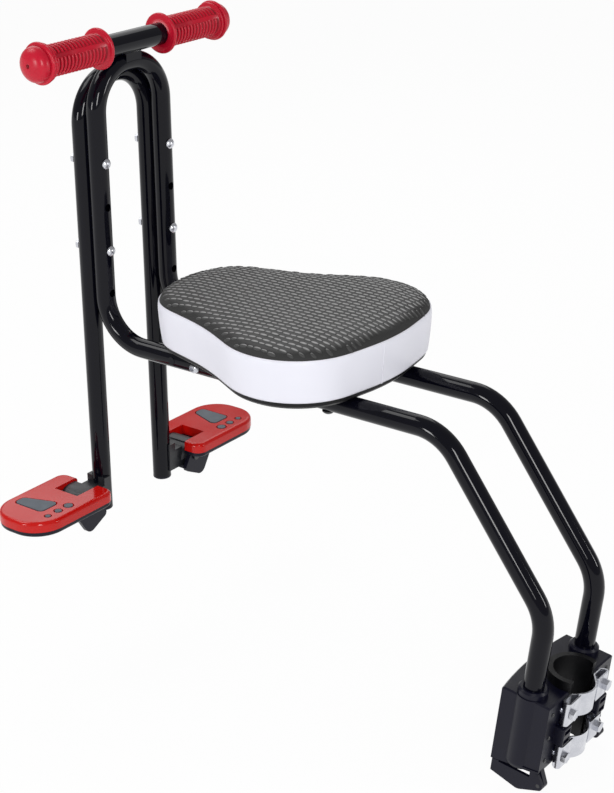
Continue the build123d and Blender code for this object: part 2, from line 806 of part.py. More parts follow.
# Footrest bracket: a saddle welded to the leg, a neck, and a round-nosed tongue that carries the hinge pin
cheek_half = tube_r + slip_gap + saddle_wall
with BuildPart() as left_footrest_bracket:
    with BuildSketch(across.offset(-tongue_half)):
        with Locations((-tongue_back, -tongue_drop)):
            Rectangle(tongue_back, tongue_drop + tongue_radius, align=low)
        with BuildSketch(mode=Mode.PRIVATE) as nose:
            Circle(tongue_radius)
            Rectangle(2 * tongue_radius, tongue_radius, align=(Align.CENTER, Align.MAX), mode=Mode.SUBTRACT)
            Circle(tongue_drop)
        add(nose.sketch)
    extrude(amount=tongue_width)
    with BuildSketch(across.offset(-cheek_half)):
        with Locations((leg_out, -tongue_drop)):
            Rectangle(-leg_out, tongue_drop + neck_rise, align=low)
            Rectangle(saddle_wrap, tongue_drop + tongue_radius + saddle_rise, align=low)
    extrude(amount=2 * cheek_half)
    with BuildSketch(Plane(foot_ends[0])):
        Circle(tube_r + slip_gap)
    extrude(amount=leg_drop, mode=Mode.SUBTRACT)
    with BuildSketch(across.offset(-tongue_half)):
        Circle(hinge_pin_d / 2 + slip_gap)
    extrude(amount=tongue_width, mode=Mode.SUBTRACT)
write(left_footrest_bracket.part, "left_footrest_bracket")
write(other_side(left_footrest_bracket.part), "right_footrest_bracket")

# Hinge pins with a head at each end
pin_half = ear_outer + seat_gap
with BuildPart() as left_hinge_pin:
    with BuildSketch(across.offset(-pin_half)):
        Circle(hinge_pin_d / 2)
    extrude(amount=2 * pin_half)
    for side in sides:
        with BuildSketch(across.offset(side * pin_half)):
            Circle(hinge_head_d / 2)
        extrude(amount=side * hinge_head_t)
write(left_hinge_pin.part, "left_hinge_pin")
write(other_side(left_hinge_pin.part), "right_hinge_pin")

# Clamp block: bow-fronted housing with two tube sockets, a groove for the liner and ribbed lugs
liner_outer = bore_radius + liner_wall
strap_mids = [strap_middle + strap_spacing / 2, strap_middle - strap_spacing / 2]
sockets_at = [(prong_offset, side * frame_half_spacing) for side in sides]
ear_front = block_rear - seat_gap
insert_at = [(side * strap_bolt_y, z) for side in sides for z in strap_mids]
block_back = Plane(clamp_point(block_rear, 0, 0), x_dir=(0, 1, 0), z_dir=clamp.x_dir)
lug_y = liner_outer + lug_side_gap + lug_width / 2
cover_y = block_half_width - cover_edge_margin - cover_width / 2
covers_at = [(side * cover_y, (block_top + block_bottom) / 2) for side in sides]
cover_screws_at = [
    (side * cover_y, (block_top + block_bottom) / 2 + row * cover_screw_pitch)
    for side in sides
    for row in (-1, 0, 1)
]
lever_inner = block_half_width - lever_thickness
lug_outer = lever_inner - lever_side_gap
lever_pivot_z = block_bottom - lever_pivot_drop
lever_side = Plane(clamp_point(0, 0, 0), x_dir=clamp.x_dir, z_dir=(0, -1, 0))
cover_shank = cover_screw_d / 2
block_low = block_bottom - block_front_drop
socket_low = prong_end - socket_floor
lip_front = block_rear + lip_length
lip_low = block_bottom - block_front_drop * lip_length / (block_front - block_rear)
with BuildPart() as socket:
    with BuildSketch(Plane.XZ) as socket_profile:
        Rectangle(socket_radius, socket_depth + socket_floor, align=low)
        fillet(socket_profile.vertices().group_by(Axis.Y)[0].sort_by(Axis.X)[-1], socket_round)
    revolve(axis=Axis.Z)
with BuildPart() as clamp_block:
    with BuildSketch(clamp.offset(block_low)):
        with BuildLine():
            Polyline(
                (block_front, block_half_width),
                (block_rear, block_half_width),
                (block_rear, -block_half_width),
                (block_front, -block_half_width),
            )
            ThreePointArc(
                (block_front, -block_half_width),
                (block_front + block_bow, 0),
                (block_front, block_half_width),
            )
        make_face()
    extrude(amount=block_top - block_low)
    chamfer(clamp_block.faces().sort_by(Axis((0, 0, 0), clamp.z_dir))[-1].edges(), block_chamfer)
    with BuildSketch(lever_side.offset(-block_half_width)):
        with BuildLine():
            Polyline(
                (block_rear, block_bottom),
                (block_front, block_low),
                (block_front, block_low - block_front_drop),
                (block_rear, block_low - block_front_drop),
                close=True,
            )
        make_face()
    extrude(amount=2 * block_half_width, mode=Mode.SUBTRACT)
    add(placed(socket.part, [Plane(clamp_point(x, y, socket_low), z_dir=clamp.z_dir) for x, y in sockets_at]))
    for side in sides:
        with BuildSketch(block_back):
            with Locations((side * lug_y, strap_middle)):
                RectangleRounded(lug_width, lug_height, block_edge_radius)
        extrude(amount=-lug_depth)
        fillet(clamp_block.faces().sort_by(Axis((0, 0, 0), clamp.x_dir))[0].edges(), lug_round)
        with BuildSketch(block_back.offset(-lug_depth)):
            with Locations((side * lug_y, strap_middle)):
                with GridLocations(0, lug_height / 2, 1, 2):
                    Rectangle(lug_width - 2 * block_edge_radius, lug_window_height)
        extrude(amount=lug_window_depth, mode=Mode.SUBTRACT)
        with BuildSketch(lever_side.offset(-side * block_half_width)):
            with BuildLine():
                Polyline(
                    (block_rear, block_bottom),
                    (lip_front, lip_low),
                    (lip_front, lip_low + lip_height),
                    (block_rear, block_bottom + lip_height),
                    close=True,
                )
            make_face()
        extrude(amount=-side * lip_proud)
        with BuildSketch(lever_side.offset(-side * lug_outer)):
            with BuildSketch(mode=Mode.PRIVATE) as lug:
                with Locations((lever_pivot_x, lever_pivot_z)):
                    Circle(lever_barrel_radius)
                with Locations((block_rear, block_bottom)):
                    Rectangle(hinge_lug_length, block_edge_radius, align=low)
                make_hull()
            add(lug.sketch)
        extrude(amount=side * hinge_lug_t)
    with BuildSketch(clamp.offset(block_low)):
        Circle(liner_outer + slip_gap)
    extrude(amount=block_top - block_low, mode=Mode.SUBTRACT)
    with BuildSketch(clamp.offset(block_top)):
        with Locations(*sockets_at):
            Circle(tube_r + slip_gap)
    extrude(amount=-socket_depth - slip_gap, mode=Mode.SUBTRACT)
    with BuildSketch(block_back):
        with Locations(*insert_at):
            Circle(insert_d / 2 + slip_gap)
    extrude(amount=insert_length, mode=Mode.SUBTRACT)
    with BuildSketch(block_back):
        with Locations(*insert_at):
            Circle(strap_bolt_d / 2 + slip_gap)
    extrude(amount=strap_bolt_grip, mode=Mode.SUBTRACT)
    with BuildSketch(block_back):
        with Locations(*covers_at):
            Rectangle(cover_width + 2 * slip_gap, cover_height + 2 * slip_gap)
    extrude(amount=cover_thickness, mode=Mode.SUBTRACT)
    with BuildSketch(block_back):
        with Locations(*cover_screws_at):
            Circle(cover_shank / 2 + slip_gap)
    extrude(amount=3 * cover_thickness, mode=Mode.SUBTRACT)
    with BuildSketch(lever_side.offset(-block_half_width)):
        with Locations((lever_pivot_x, lever_pivot_z)):
            Circle(lever_pin_d / 2 + slip_gap)
    extrude(amount=2 * block_half_width, mode=Mode.SUBTRACT)
write(clamp_block.part, "clamp_block")

# Covers and screws on the back of the block
with BuildPart() as back_covers:
    with BuildSketch(block_back):
        with Locations(*covers_at):
            Rectangle(cover_width, cover_height)
        with Locations(*cover_screws_at):
            Circle(cover_shank / 2 + slip_gap, mode=Mode.SUBTRACT)
    extrude(amount=cover_thickness)
write(back_covers.part, "back_covers")
cover_screw = dome_bolt(cover_screw_d, cover_screw_h, cover_shank, 3 * cover_thickness - slip_gap)
cover_planes = [Plane(block_back.from_local_coords(Vector(y, z, 0)), z_dir=-clamp.x_dir) for y, z in cover_screws_at]
write(placed(cover_screw, cover_planes), "cover_screws")

# Collars round the tubes on top of the block
with BuildPart() as collar:
    add(ring(collar_d, tube_od + 2 * slip_gap, collar_height))
    chamfer(collar.edges().group_by(Axis.Z)[-1].sort_by(SortBy.LENGTH)[-1], collar_lip)
collar_planes = [Plane(clamp_point(x, y, block_top), z_dir=clamp.z_dir) for x, y in sockets_at]
write(placed(collar.part, collar_planes), "tube_collars")

# Liner: open sleeve with a rim at the top
with BuildPart() as clamp_liner:
    with BuildSketch(clamp.offset(liner_bottom)):
        Circle(liner_outer)
    extrude(amount=liner_top - liner_bottom)
    with BuildSketch(clamp.offset(liner_top)):
        Circle(liner_outer + liner_rim)
    extrude(amount=-liner_rim_height)
    with BuildSketch(clamp.offset(liner_bottom)):
        Circle(bore_radius)
        with Locations((block_rear, 0)):
            Rectangle(2 * liner_outer, 3 * liner_outer, align=(Align.MAX, Align.CENTER))
    extrude(amount=liner_top - liner_bottom, mode=Mode.SUBTRACT)
write(clamp_liner.part, "clamp_liner")

# Straps: sheet bent round the tube, with an ear folded back on itself at each end
strap_mid_r = bore_radius + strap_thickness / 2
ear_x = ear_front - strap_thickness / 2
ear_back_x = ear_x - ear_depth
leave = radians(strap_leave_angle)
leave_x = -strap_mid_r * cos(leave)
leave_y = strap_mid_r * sin(leave)
ear_start_y = leave_y + (ear_x - leave_x) / tan(leave)
ear_end_y = sqrt((strap_mid_r + strap_thickness / 2 + ear_end_gap) ** 2 - (ear_back_x + strap_thickness / 2) ** 2)


def strap(mid_z):
    """One strap, centred on a height along the clamp axis."""
    with BuildPart() as made:
        with BuildSketch(clamp.offset(mid_z - strap_height / 2)):
            with BuildLine():
                ThreePointArc((leave_x, leave_y), (-strap_mid_r, 0), (leave_x, -leave_y))
            trace(line_width=strap_thickness)
            for side in sides:
                with BuildLine():
                    FilletPolyline(
                        (leave_x, side * leave_y),
                        (ear_x, side * ear_start_y),
                        (ear_x, side * (ear_reach - ear_splay)),
                        (ear_back_x, side * ear_reach),
                        (ear_back_x, side * ear_end_y),
                        radius=ear_bend_radius,
                    )
                trace(line_width=strap_thickness)
        extrude(amount=strap_height)
        with BuildSketch(block_back):
            with Locations(*[(side * strap_bolt_y, mid_z) for side in sides]):
                Circle(strap_bolt_d / 2 + slip_gap)
        extrude(amount=-2 * ear_reach, mode=Mode.SUBTRACT)
    return made.part


write(strap(strap_mids[0]), "upper_strap")
write(strap(strap_mids[1]), "lower_strap")

# Strap bolts and their threaded inserts
ear_face = ear_back_x - strap_thickness / 2
strap_bolt = hex_bolt(strap_head_flats, strap_head_h, strap_bolt_d, block_rear - ear_face + strap_bolt_grip - seat_gap)
bolt_planes = [Plane(clamp_point(ear_face, y, z), z_dir=-clamp.x_dir) for y, z in insert_at]
write(placed(strap_bolt, bolt_planes), "strap_bolts")
insert = ring(insert_d, strap_bolt_d + 2 * slip_gap, insert_length)
insert_planes = [Plane(clamp_point(block_rear, y, z), z_dir=clamp.x_dir) for y, z in insert_at]
write(placed(insert, insert_planes), "strap_inserts")

# Release lever: two side plates under the block, joined by a finger bar
lever_top = block_low - seat_gap
with BuildPart() as release_lever:
    for side in sides:
        with BuildSketch(lever_side.offset(-side * block_half_width)):
            with BuildSketch(mode=Mode.PRIVATE) as plate:
                with Locations((lever_pivot_x, lever_pivot_z)):
                    Circle(lever_barrel_radius)
                with Locations((lever_belly_x, block_bottom - lever_belly_drop + lever_belly_radius)):
                    Circle(lever_belly_radius)
                with Locations((lever_front, lever_top)):
                    Rectangle(lever_tip_length, lever_tip_height, align=(Align.MAX, Align.MAX))
                with Locations((block_rear, block_bottom - lever_clear)):
                    Rectangle(lever_tip_length, lever_tip_length, align=(Align.MIN, Align.MAX))
                make_hull()
                with Locations((prong_offset, socket_low - lever_clear)):
                    Rectangle(
                        2 * (socket_radius + lever_clear),
                        socket_depth,
                        align=(Align.CENTER, Align.MIN),
                        mode=Mode.SUBTRACT,
                    )
                with Locations((lever_pivot_x, lever_pivot_z)):
                    Circle(lever_barrel_radius)
                    Circle(lever_pin_d / 2 + pin_gap, mode=Mode.SUBTRACT)
            add(plate.sketch)
        extrude(amount=side * lever_thickness)
    with BuildSketch(lever_side.offset(-lever_inner)):
        with Locations((finger_bar_back, lever_top - lever_tip_height)):
            Rectangle(finger_bar_depth, finger_bar_t, align=low)
    extrude(amount=2 * lever_inner)
write(release_lever.part, "release_lever")

# Hinge pins of the lever
pin_length = block_half_width - lug_outer + hinge_lug_t
pin_planes = [
    Plane(clamp_point(lever_pivot_x, side * (block_half_width - pin_length), lever_pivot_z), z_dir=(0, side, 0))
    for side in sides
]
with BuildPart() as lever_pin:
    Cylinder(lever_pin_d / 2, pin_length, align=(Align.CENTER, Align.CENTER, Align.MIN))
write(placed(lever_pin.part, pin_planes), "lever_pins")
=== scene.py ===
"""Child's bicycle seat with its own handlebar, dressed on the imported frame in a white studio."""

import json
import logging
import math
from dataclasses import dataclass, field
from enum import Enum
from typing import Any

import bmesh
import bpy
from mathutils import Matrix, Vector
from mathutils.geometry import delaunay_2d_cdt

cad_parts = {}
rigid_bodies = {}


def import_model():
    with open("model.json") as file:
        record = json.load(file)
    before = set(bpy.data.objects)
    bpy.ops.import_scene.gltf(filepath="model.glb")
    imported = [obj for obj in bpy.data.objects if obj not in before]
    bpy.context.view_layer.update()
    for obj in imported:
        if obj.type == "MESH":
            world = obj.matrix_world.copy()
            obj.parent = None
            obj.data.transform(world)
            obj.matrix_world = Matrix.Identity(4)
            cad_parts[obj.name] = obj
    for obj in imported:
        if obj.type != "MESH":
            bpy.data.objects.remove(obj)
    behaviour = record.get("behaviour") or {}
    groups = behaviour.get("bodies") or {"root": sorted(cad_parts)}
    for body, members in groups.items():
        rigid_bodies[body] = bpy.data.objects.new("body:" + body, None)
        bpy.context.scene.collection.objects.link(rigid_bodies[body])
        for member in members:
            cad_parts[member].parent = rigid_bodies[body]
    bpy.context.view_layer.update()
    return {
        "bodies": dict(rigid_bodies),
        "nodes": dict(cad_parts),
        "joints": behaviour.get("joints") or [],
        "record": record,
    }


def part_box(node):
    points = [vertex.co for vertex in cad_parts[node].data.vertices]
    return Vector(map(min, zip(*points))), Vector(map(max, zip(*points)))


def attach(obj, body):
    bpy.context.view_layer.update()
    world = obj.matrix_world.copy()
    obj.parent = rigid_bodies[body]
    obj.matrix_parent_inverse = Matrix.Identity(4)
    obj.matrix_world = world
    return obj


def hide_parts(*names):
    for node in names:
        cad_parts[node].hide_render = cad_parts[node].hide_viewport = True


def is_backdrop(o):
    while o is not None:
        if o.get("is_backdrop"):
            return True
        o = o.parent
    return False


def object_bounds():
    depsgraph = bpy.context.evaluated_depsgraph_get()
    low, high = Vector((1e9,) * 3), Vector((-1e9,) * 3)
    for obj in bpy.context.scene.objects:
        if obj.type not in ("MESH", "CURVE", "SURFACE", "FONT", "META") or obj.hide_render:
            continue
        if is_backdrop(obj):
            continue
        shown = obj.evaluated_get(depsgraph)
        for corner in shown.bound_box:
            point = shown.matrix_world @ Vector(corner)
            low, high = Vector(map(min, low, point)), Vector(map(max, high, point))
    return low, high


LOG = logging.getLogger("child_seat")
MM = 0.001
# Points nearer than this are one point.
MERGE = 0.01 * MM
# Decimals of a metre that are kept when points are compared, and a length too short to matter.
PLACES = 6
TINY = 1e-7
# Choice of the triangle filler that keeps only what lies inside the border.
INSIDE_ONLY = 1
# Range that Blender's noise seldom leaves, and its octaves for a slow drift and for a grain.
NOISE_RANGE = (0.3, 0.7)
DRIFT_DETAIL = 3.0
GRAIN_DETAIL = 2.0
# Radians that a wave texture turns over one unit.
WAVE_RATE = 20
# Sockets of a Mix node that mixes colours: its share, its two colours and its result.
MIX_SHARE, MIX_FIRST, MIX_SECOND, MIX_RESULT = 0, 6, 7, 2
Colour = tuple[float, float, float, float]
Frame = dict[str, Any]


def linear(code: str) -> Colour:
    """Turn an sRGB hex colour into linear light.

    Args:
        code: colour such as "#1a2b3c".

    Returns:
        Red, green, blue and an opaque alpha.
    """
    values = [int(code[i:i + 2], 16) / 255 for i in (1, 3, 5)]
    light = [v / 12.92 if v <= 0.04045 else ((v + 0.055) / 1.055) ** 2.4 for v in values]
    return (light[0], light[1], light[2], 1.0)


def add_node(tree: bpy.types.NodeTree, kind: str, inputs: dict[str | int, Any] | None = None,
             **settings: Any) -> bpy.types.Node:
    """Add a node, set its properties and fill or link its inputs.

    Args:
        tree: node tree that gets the node.
        kind: Blender's type name of the node.
        inputs: socket names or numbers, each with a value, the output that feeds it, or a node whose
            first output feeds it.
        settings: the node's own properties.

    Returns:
        The new node.
    """
    node = tree.nodes.new(kind)
    for key, value in settings.items():
        setattr(node, key, value)
    for key, value in (inputs or {}).items():
        feed = value.outputs[0] if isinstance(value, bpy.types.Node) else value
        if isinstance(feed, bpy.types.NodeSocket):
            tree.links.new(feed, node.inputs[key])
        else:
            node.inputs[key].default_value = feed
    return node


def bare_tree(owner: bpy.types.Material | bpy.types.World) -> bpy.types.NodeTree:
    """Switch on the nodes of a material or world and empty its tree."""
    owner.use_nodes = True
    owner.node_tree.nodes.clear()
    return owner.node_tree


class Side(Enum):
    """Side of the seat; the value is the sign of Y."""

    LEFT = 1
    RIGHT = -1

    @property
    def word(self) -> str:
        """Name of the side as the frame's nodes and bodies spell it."""
        return self.name.lower()


# Finishes


@dataclass(frozen=True)
class Finish:
    """Surface with a slow drift of tone, a fine grain and some change of gloss.

    Colours are sRGB hex codes and lengths are millimetres.
    """

    name: str
    colour: str
    drift_colour: str
    roughness: float
    gloss_change: float
    drift_mm: float
    grain_mm: float
    grain_depth_mm: float
    metallic: float = 0.0
    ior: float = 1.5

    def material(self) -> bpy.types.Material:
        """Make the finish's material.

        Returns:
            A new node material.
        """
        material = bpy.data.materials.new(self.name)
        tree = bare_tree(material)
        shader = add_node(tree, "ShaderNodeBsdfPrincipled", {"Metallic": self.metallic, "IOR": self.ior})
        add_node(tree, "ShaderNodeOutputMaterial", {"Surface": shader})
        place = add_node(tree, "ShaderNodeTexCoord").outputs["Object"]
        self.paint(tree, shader, place)
        return material

    def paint(self, tree: bpy.types.NodeTree, shader: bpy.types.Node, place: bpy.types.NodeSocket) -> None:
        """Link colour, roughness and bump into the shader.

        Args:
            tree: the material's node tree.
            shader: its principled shader.
            place: object coordinates in metres.
        """
        drift = add_node(tree, "ShaderNodeTexNoise", {
            "Vector": place, "Scale": 1 / (self.drift_mm * MM), "Detail": DRIFT_DETAIL}).outputs["Fac"]
        tone = add_node(tree, "ShaderNodeMix", {
            MIX_SHARE: drift, MIX_FIRST: linear(self.colour), MIX_SECOND: linear(self.drift_colour),
        }, data_type="RGBA")
        gloss = add_node(tree, "ShaderNodeMapRange", {
            "Value": drift, "From Min": NOISE_RANGE[0], "From Max": NOISE_RANGE[1],
            "To Min": self.roughness - self.gloss_change, "To Max": self.roughness + self.gloss_change})
        grain = add_node(tree, "ShaderNodeTexNoise", {
            "Vector": place, "Scale": 1 / (self.grain_mm * MM), "Detail": GRAIN_DETAIL}).outputs["Fac"]
        bump = add_node(tree, "ShaderNodeBump", {
            "Height": grain, "Strength": 1.0, "Distance": self.grain_depth_mm * MM})
        tree.links.new(tone.outputs[MIX_RESULT], shader.inputs["Base Color"])
        tree.links.new(gloss.outputs["Result"], shader.inputs["Roughness"])
        tree.links.new(bump.outputs["Normal"], shader.inputs["Normal"])


@dataclass(frozen=True)
class WovenCloth(Finish):
    """Coarse woven cloth whose threads show, with painted shade where its surface tips away from level.

    The slopes are the upward part of the surface's normal, where the painted shade is full and where the
    flat colour begins.
    """

    # Colour of the painted shade where the surface slopes.
    rolled_colour: str = "#000000"
    rolled_slope: float = 0.78
    flat_slope: float = 0.985
    thread_mm: float = 2.0
    thread_depth_mm: float = 0.15

    def paint(self, tree: bpy.types.NodeTree, shader: bpy.types.Node, place: bpy.types.NodeSocket) -> None:
        """Link thread, colour with its painted shade, and roughness into the shader.

        Args:
            tree: the material's node tree.
            shader: its principled shader.
            place: object coordinates in metres.
        """
        super().paint(tree, shader, place)
        scale = math.tau / WAVE_RATE / (self.thread_mm * MM)
        threads = [
            add_node(tree, "ShaderNodeTexWave", {"Vector": place, "Scale": scale},
                     bands_direction=axis).outputs["Fac"] for axis in ("X", "Y")
        ]
        cross = add_node(tree, "ShaderNodeMath", {0: threads[0], 1: threads[1]}, operation="MULTIPLY")
        bump = add_node(tree, "ShaderNodeBump", {
            "Height": cross, "Strength": 1.0, "Distance": self.thread_depth_mm * MM,
            "Normal": shader.inputs["Normal"].links[0].from_socket})
        # Painted shade: the colour darkens towards the shaded colour where the normal tips away from
        # upright.
        normal = add_node(tree, "ShaderNodeNewGeometry").outputs["Normal"]
        upright = add_node(tree, "ShaderNodeSeparateXYZ", {"Vector": normal}).outputs["Z"]
        flat = add_node(tree, "ShaderNodeMapRange", {
            "Value": upright, "From Min": self.rolled_slope, "From Max": self.flat_slope,
        }, interpolation_type="SMOOTHSTEP")
        tone = shader.inputs["Base Color"].links[0].from_socket
        colour = add_node(tree, "ShaderNodeMix", {
            MIX_SHARE: flat, MIX_FIRST: linear(self.rolled_colour), MIX_SECOND: tone,
        }, data_type="RGBA")
        tree.links.new(colour.outputs[MIX_RESULT], shader.inputs["Base Color"])
        tree.links.new(bump.outputs["Normal"], shader.inputs["Normal"])


# Powder coat on steel tube: near black, wet gloss. Its orange-peel is drawn coarser than life, so that it
# shows where it breaks the long highlights.
POWDER_COAT = Finish("powder_coated_steel", "#05050e", "#080812", 0.08, 0.02, 60.0, 6.0, 0.006, ior=1.31)
# Bright zinc plate on pressed steel: pale cool metal with a slightly cloudy passivated skin.
ZINC_PLATE = Finish("zinc_plated_steel", "#dfe0e5", "#bfc1c9", 0.30, 0.09, 8.0, 1.2, 0.006, metallic=1.0)
# Black oxide on small screws and pins: dark, oily, half matt.
BLACK_OXIDE = Finish("black_oxide_steel", "#16171a", "#222327", 0.36, 0.06, 4.0, 0.8, 0.004, ior=1.6)
# Soft PVC of a moulded grip: deep crimson, satin, faintly mottled.
GRIP_RUBBER = Finish("moulded_pvc_rubber", "#cb1230", "#ba0e29", 0.30, 0.06, 14.0, 0.9, 0.012, ior=1.40)
# The same rubber deep between the ribs and in the vent: darker as painted shade in those recesses, and
# duller.
GRIP_PAINTED_SHADE = Finish("dull_pvc_rubber", "#9a0c20", "#880a1b", 0.5, 0.05, 14.0, 0.9, 0.012, ior=1.35)
# Gloss ABS from a polished mould: clear bright red with a sharp highlight.
GLOSS_RED = Finish("polished_abs_red", "#c9100a", "#bf0e08", 0.15, 0.04, 40.0, 3.0, 0.006, ior=1.40)
# Thermoplastic rubber inlay with a spark-eroded mould face: mid grey and matt.
INLAY_RUBBER = Finish("matt_tpe_grey", "#5a626c", "#50575f", 0.55, 0.05, 12.0, 0.8, 0.02, ior=1.5)
# Glass-filled nylon with a fine mould grain: black, half matt.
FILLED_NYLON = Finish("glass_filled_nylon", "#0a0a1a", "#0f0f20", 0.34, 0.06, 18.0, 0.9, 0.012, ior=1.33)
# Satin black enamel of the pressed brackets: dark grey where it faces the light.
SATIN_ENAMEL = Finish("satin_enamelled_steel", "#1a1b20", "#202126", 0.42, 0.06, 12.0, 0.9, 0.010, ior=1.5)
# Liner of vulcanised rubber: black and dull.
LINER_RUBBER = Finish("vulcanised_rubber", "#060608", "#0a0a0d", 0.45, 0.06, 10.0, 0.7, 0.02, ior=1.34)
# Plywood wrapped in black vinyl cloth: dull black with a fine leather grain.
BOARD_CLOTH = Finish("vinyl_cloth_on_plywood", "#08080a", "#0d0d0f", 0.45, 0.06, 15.0, 1.1, 0.05, ior=1.36)
# Coated cloth of the side band: cool white, smooth, faintly creased.
WHITE_VINYL = Finish("white_coated_cloth", "#eeeef7", "#e7e7f1", 0.42, 0.05, 55.0, 9.0, 0.10, ior=1.45)
# Piping cord wrapped in the same white vinyl.
PIPING_VINYL = Finish("white_vinyl_piping", "#eeedf5", "#e4e3ed", 0.40, 0.04, 20.0, 1.0, 0.01, ior=1.45)
# Coarse polyester weave of the top: dark grey ground between raised floats; painted shade on its rolled
# edge.
TOP_CLOTH = WovenCloth("woven_polyester_grey", "#515151", "#484848", 0.7, 0.06, 30.0, 1.4, 0.04, ior=1.42,
                       rolled_colour="#2e2e2e")
# Raised floats of the weave: loose bundles of the same yarn that catch the light; painted shade on their
# sides.
FLOAT_YARN = WovenCloth("woven_polyester_floats", "#a6a6a6", "#929292", 0.55, 0.06, 8.0, 1.0, 0.02,
                        ior=1.45, rolled_colour="#404040", thread_mm=1.0, thread_depth_mm=0.08)


def coat_nodes(frame: Frame, nodes: tuple[str, ...], finish: Finish) -> None:
    """Give CAD nodes a finish.

    Args:
        frame: the loaded frame.
        nodes: names of the nodes.
        finish: what they are made of.
    """
    material = finish.material()
    for node in nodes:
        mesh = frame["nodes"][node].data
        mesh.materials.clear()
        mesh.materials.append(material)
        LOG.info("%s: %s", node, finish.name)


def new_object(name: str, mesh: bpy.types.Mesh, *finishes: Finish) -> bpy.types.Object:
    """Link a mesh into the scene as an object at the origin.

    Args:
        name: name of the piece.
        mesh: its mesh, already in place.
        finishes: its finishes, in the order of the mesh's material slots.

    Returns:
        The new object.
    """
    for finish in finishes:
        mesh.materials.append(finish.material())
    piece = bpy.data.objects.new(name, mesh)
    bpy.context.scene.collection.objects.link(piece)
    return piece


def bake(piece: bpy.types.Object, modifier: bpy.types.Modifier) -> None:
    """Turn what a modifier makes of a piece into the piece's own mesh.

    Args:
        piece: object that holds the modifier.
        modifier: its one modifier, which is then removed.
    """
    depsgraph = bpy.context.evaluated_depsgraph_get()
    mesh = bpy.data.meshes.new_from_object(piece.evaluated_get(depsgraph), depsgraph=depsgraph)
    piece.modifiers.remove(modifier)
    piece.data = mesh


def run_tree(piece: bpy.types.Object, tree: bpy.types.NodeTree, sizes: dict[str, float]) -> None:
    """Put a geometry tree on a piece and turn its result into the piece's own mesh.

    Args:
        piece: object whose mesh is the tree's input.
        tree: geometry node tree.
        sizes: the tree's named inputs.
    """
    modifier = piece.modifiers.new(tree.name, "NODES")
    modifier.node_group = tree
    for item in tree.interface.items_tree:
        if item.in_out == "INPUT" and item.name in sizes:
            modifier[item.identifier] = sizes[item.name]
    bake(piece, modifier)


def new_tree(name: str, sizes: dict[str, float]) -> tuple[bpy.types.NodeTree, Any, Any]:
    """Start a geometry tree with a mesh input and named sizes.

    Args:
        name: name of the tree.
        sizes: named lengths and angles, and whole numbers for counts.

    Returns:
        The tree, the sockets of its group input and those of its group output.
    """
    tree = bpy.data.node_groups.new(name, "GeometryNodeTree")
    tree.interface.new_socket("Geometry", in_out="INPUT", socket_type="NodeSocketGeometry")
    for key, value in sizes.items():
        kind = "NodeSocketInt" if isinstance(value, int) else "NodeSocketFloat"
        tree.interface.new_socket(key, in_out="INPUT", socket_type=kind).default_value = value
    tree.interface.new_socket("Geometry", in_out="OUTPUT", socket_type="NodeSocketGeometry")
    return tree, tree.nodes.new("NodeGroupInput").outputs, tree.nodes.new("NodeGroupOutput").inputs


# Sub-assemblies


@dataclass
class TubeFrame:
    """Bent steel tubes, the handlebar's saddle plates and the plugs in the legs."""

    tubes: tuple[str, ...] = (
        "front_frame_tube", "left_rear_tube", "right_rear_tube", "footrest_tube",
        "handlebar_tube", "handlebar_saddle", "joint_rivets",
    )
    plugs: tuple[str, ...] = ("leg_plugs",)

    def dress(self, frame: Frame) -> None:
        """Paint the tubes and give the plugs their nylon."""
        coat_nodes(frame, self.tubes, POWDER_COAT)
        coat_nodes(frame, self.plugs, FILLED_NYLON)


@dataclass
class Hardware:
    """Bolts, nuts, pins and screws of the frame, seat and footrests."""

    plated: tuple[str, ...] = (
        "frame_bolts", "frame_nuts", "joint_bolts", "joint_nuts", "joint_sleeves", "tee_nuts",
    )
    blacked: tuple[str, ...] = (
        "board_bolts", "left_hinge_pin", "right_hinge_pin", "left_footrest_screws", "right_footrest_screws",
    )

    def dress(self, frame: Frame) -> None:
        """Plate the bright hardware and black the rest."""
        coat_nodes(frame, self.plated, ZINC_PLATE)
        coat_nodes(frame, self.blacked, BLACK_OXIDE)


@dataclass
class Clamp:
    """Moulded clamp block with its liner, straps, covers and release lever."""

    mouldings: tuple[str, ...] = ("clamp_block", "back_covers", "release_lever", "tube_collars")
    plated: tuple[str, ...] = ("upper_strap", "lower_strap", "strap_bolts", "strap_inserts")
    blacked: tuple[str, ...] = ("cover_screws", "lever_pins")
    lining: tuple[str, ...] = ("clamp_liner",)

    def dress(self, frame: Frame) -> None:
        """Give the clamp its nylon, zinc and rubber."""
        coat_nodes(frame, self.mouldings, FILLED_NYLON)
        coat_nodes(frame, self.plated, ZINC_PLATE)
        coat_nodes(frame, self.blacked, BLACK_OXIDE)
        coat_nodes(frame, self.lining, LINER_RUBBER)


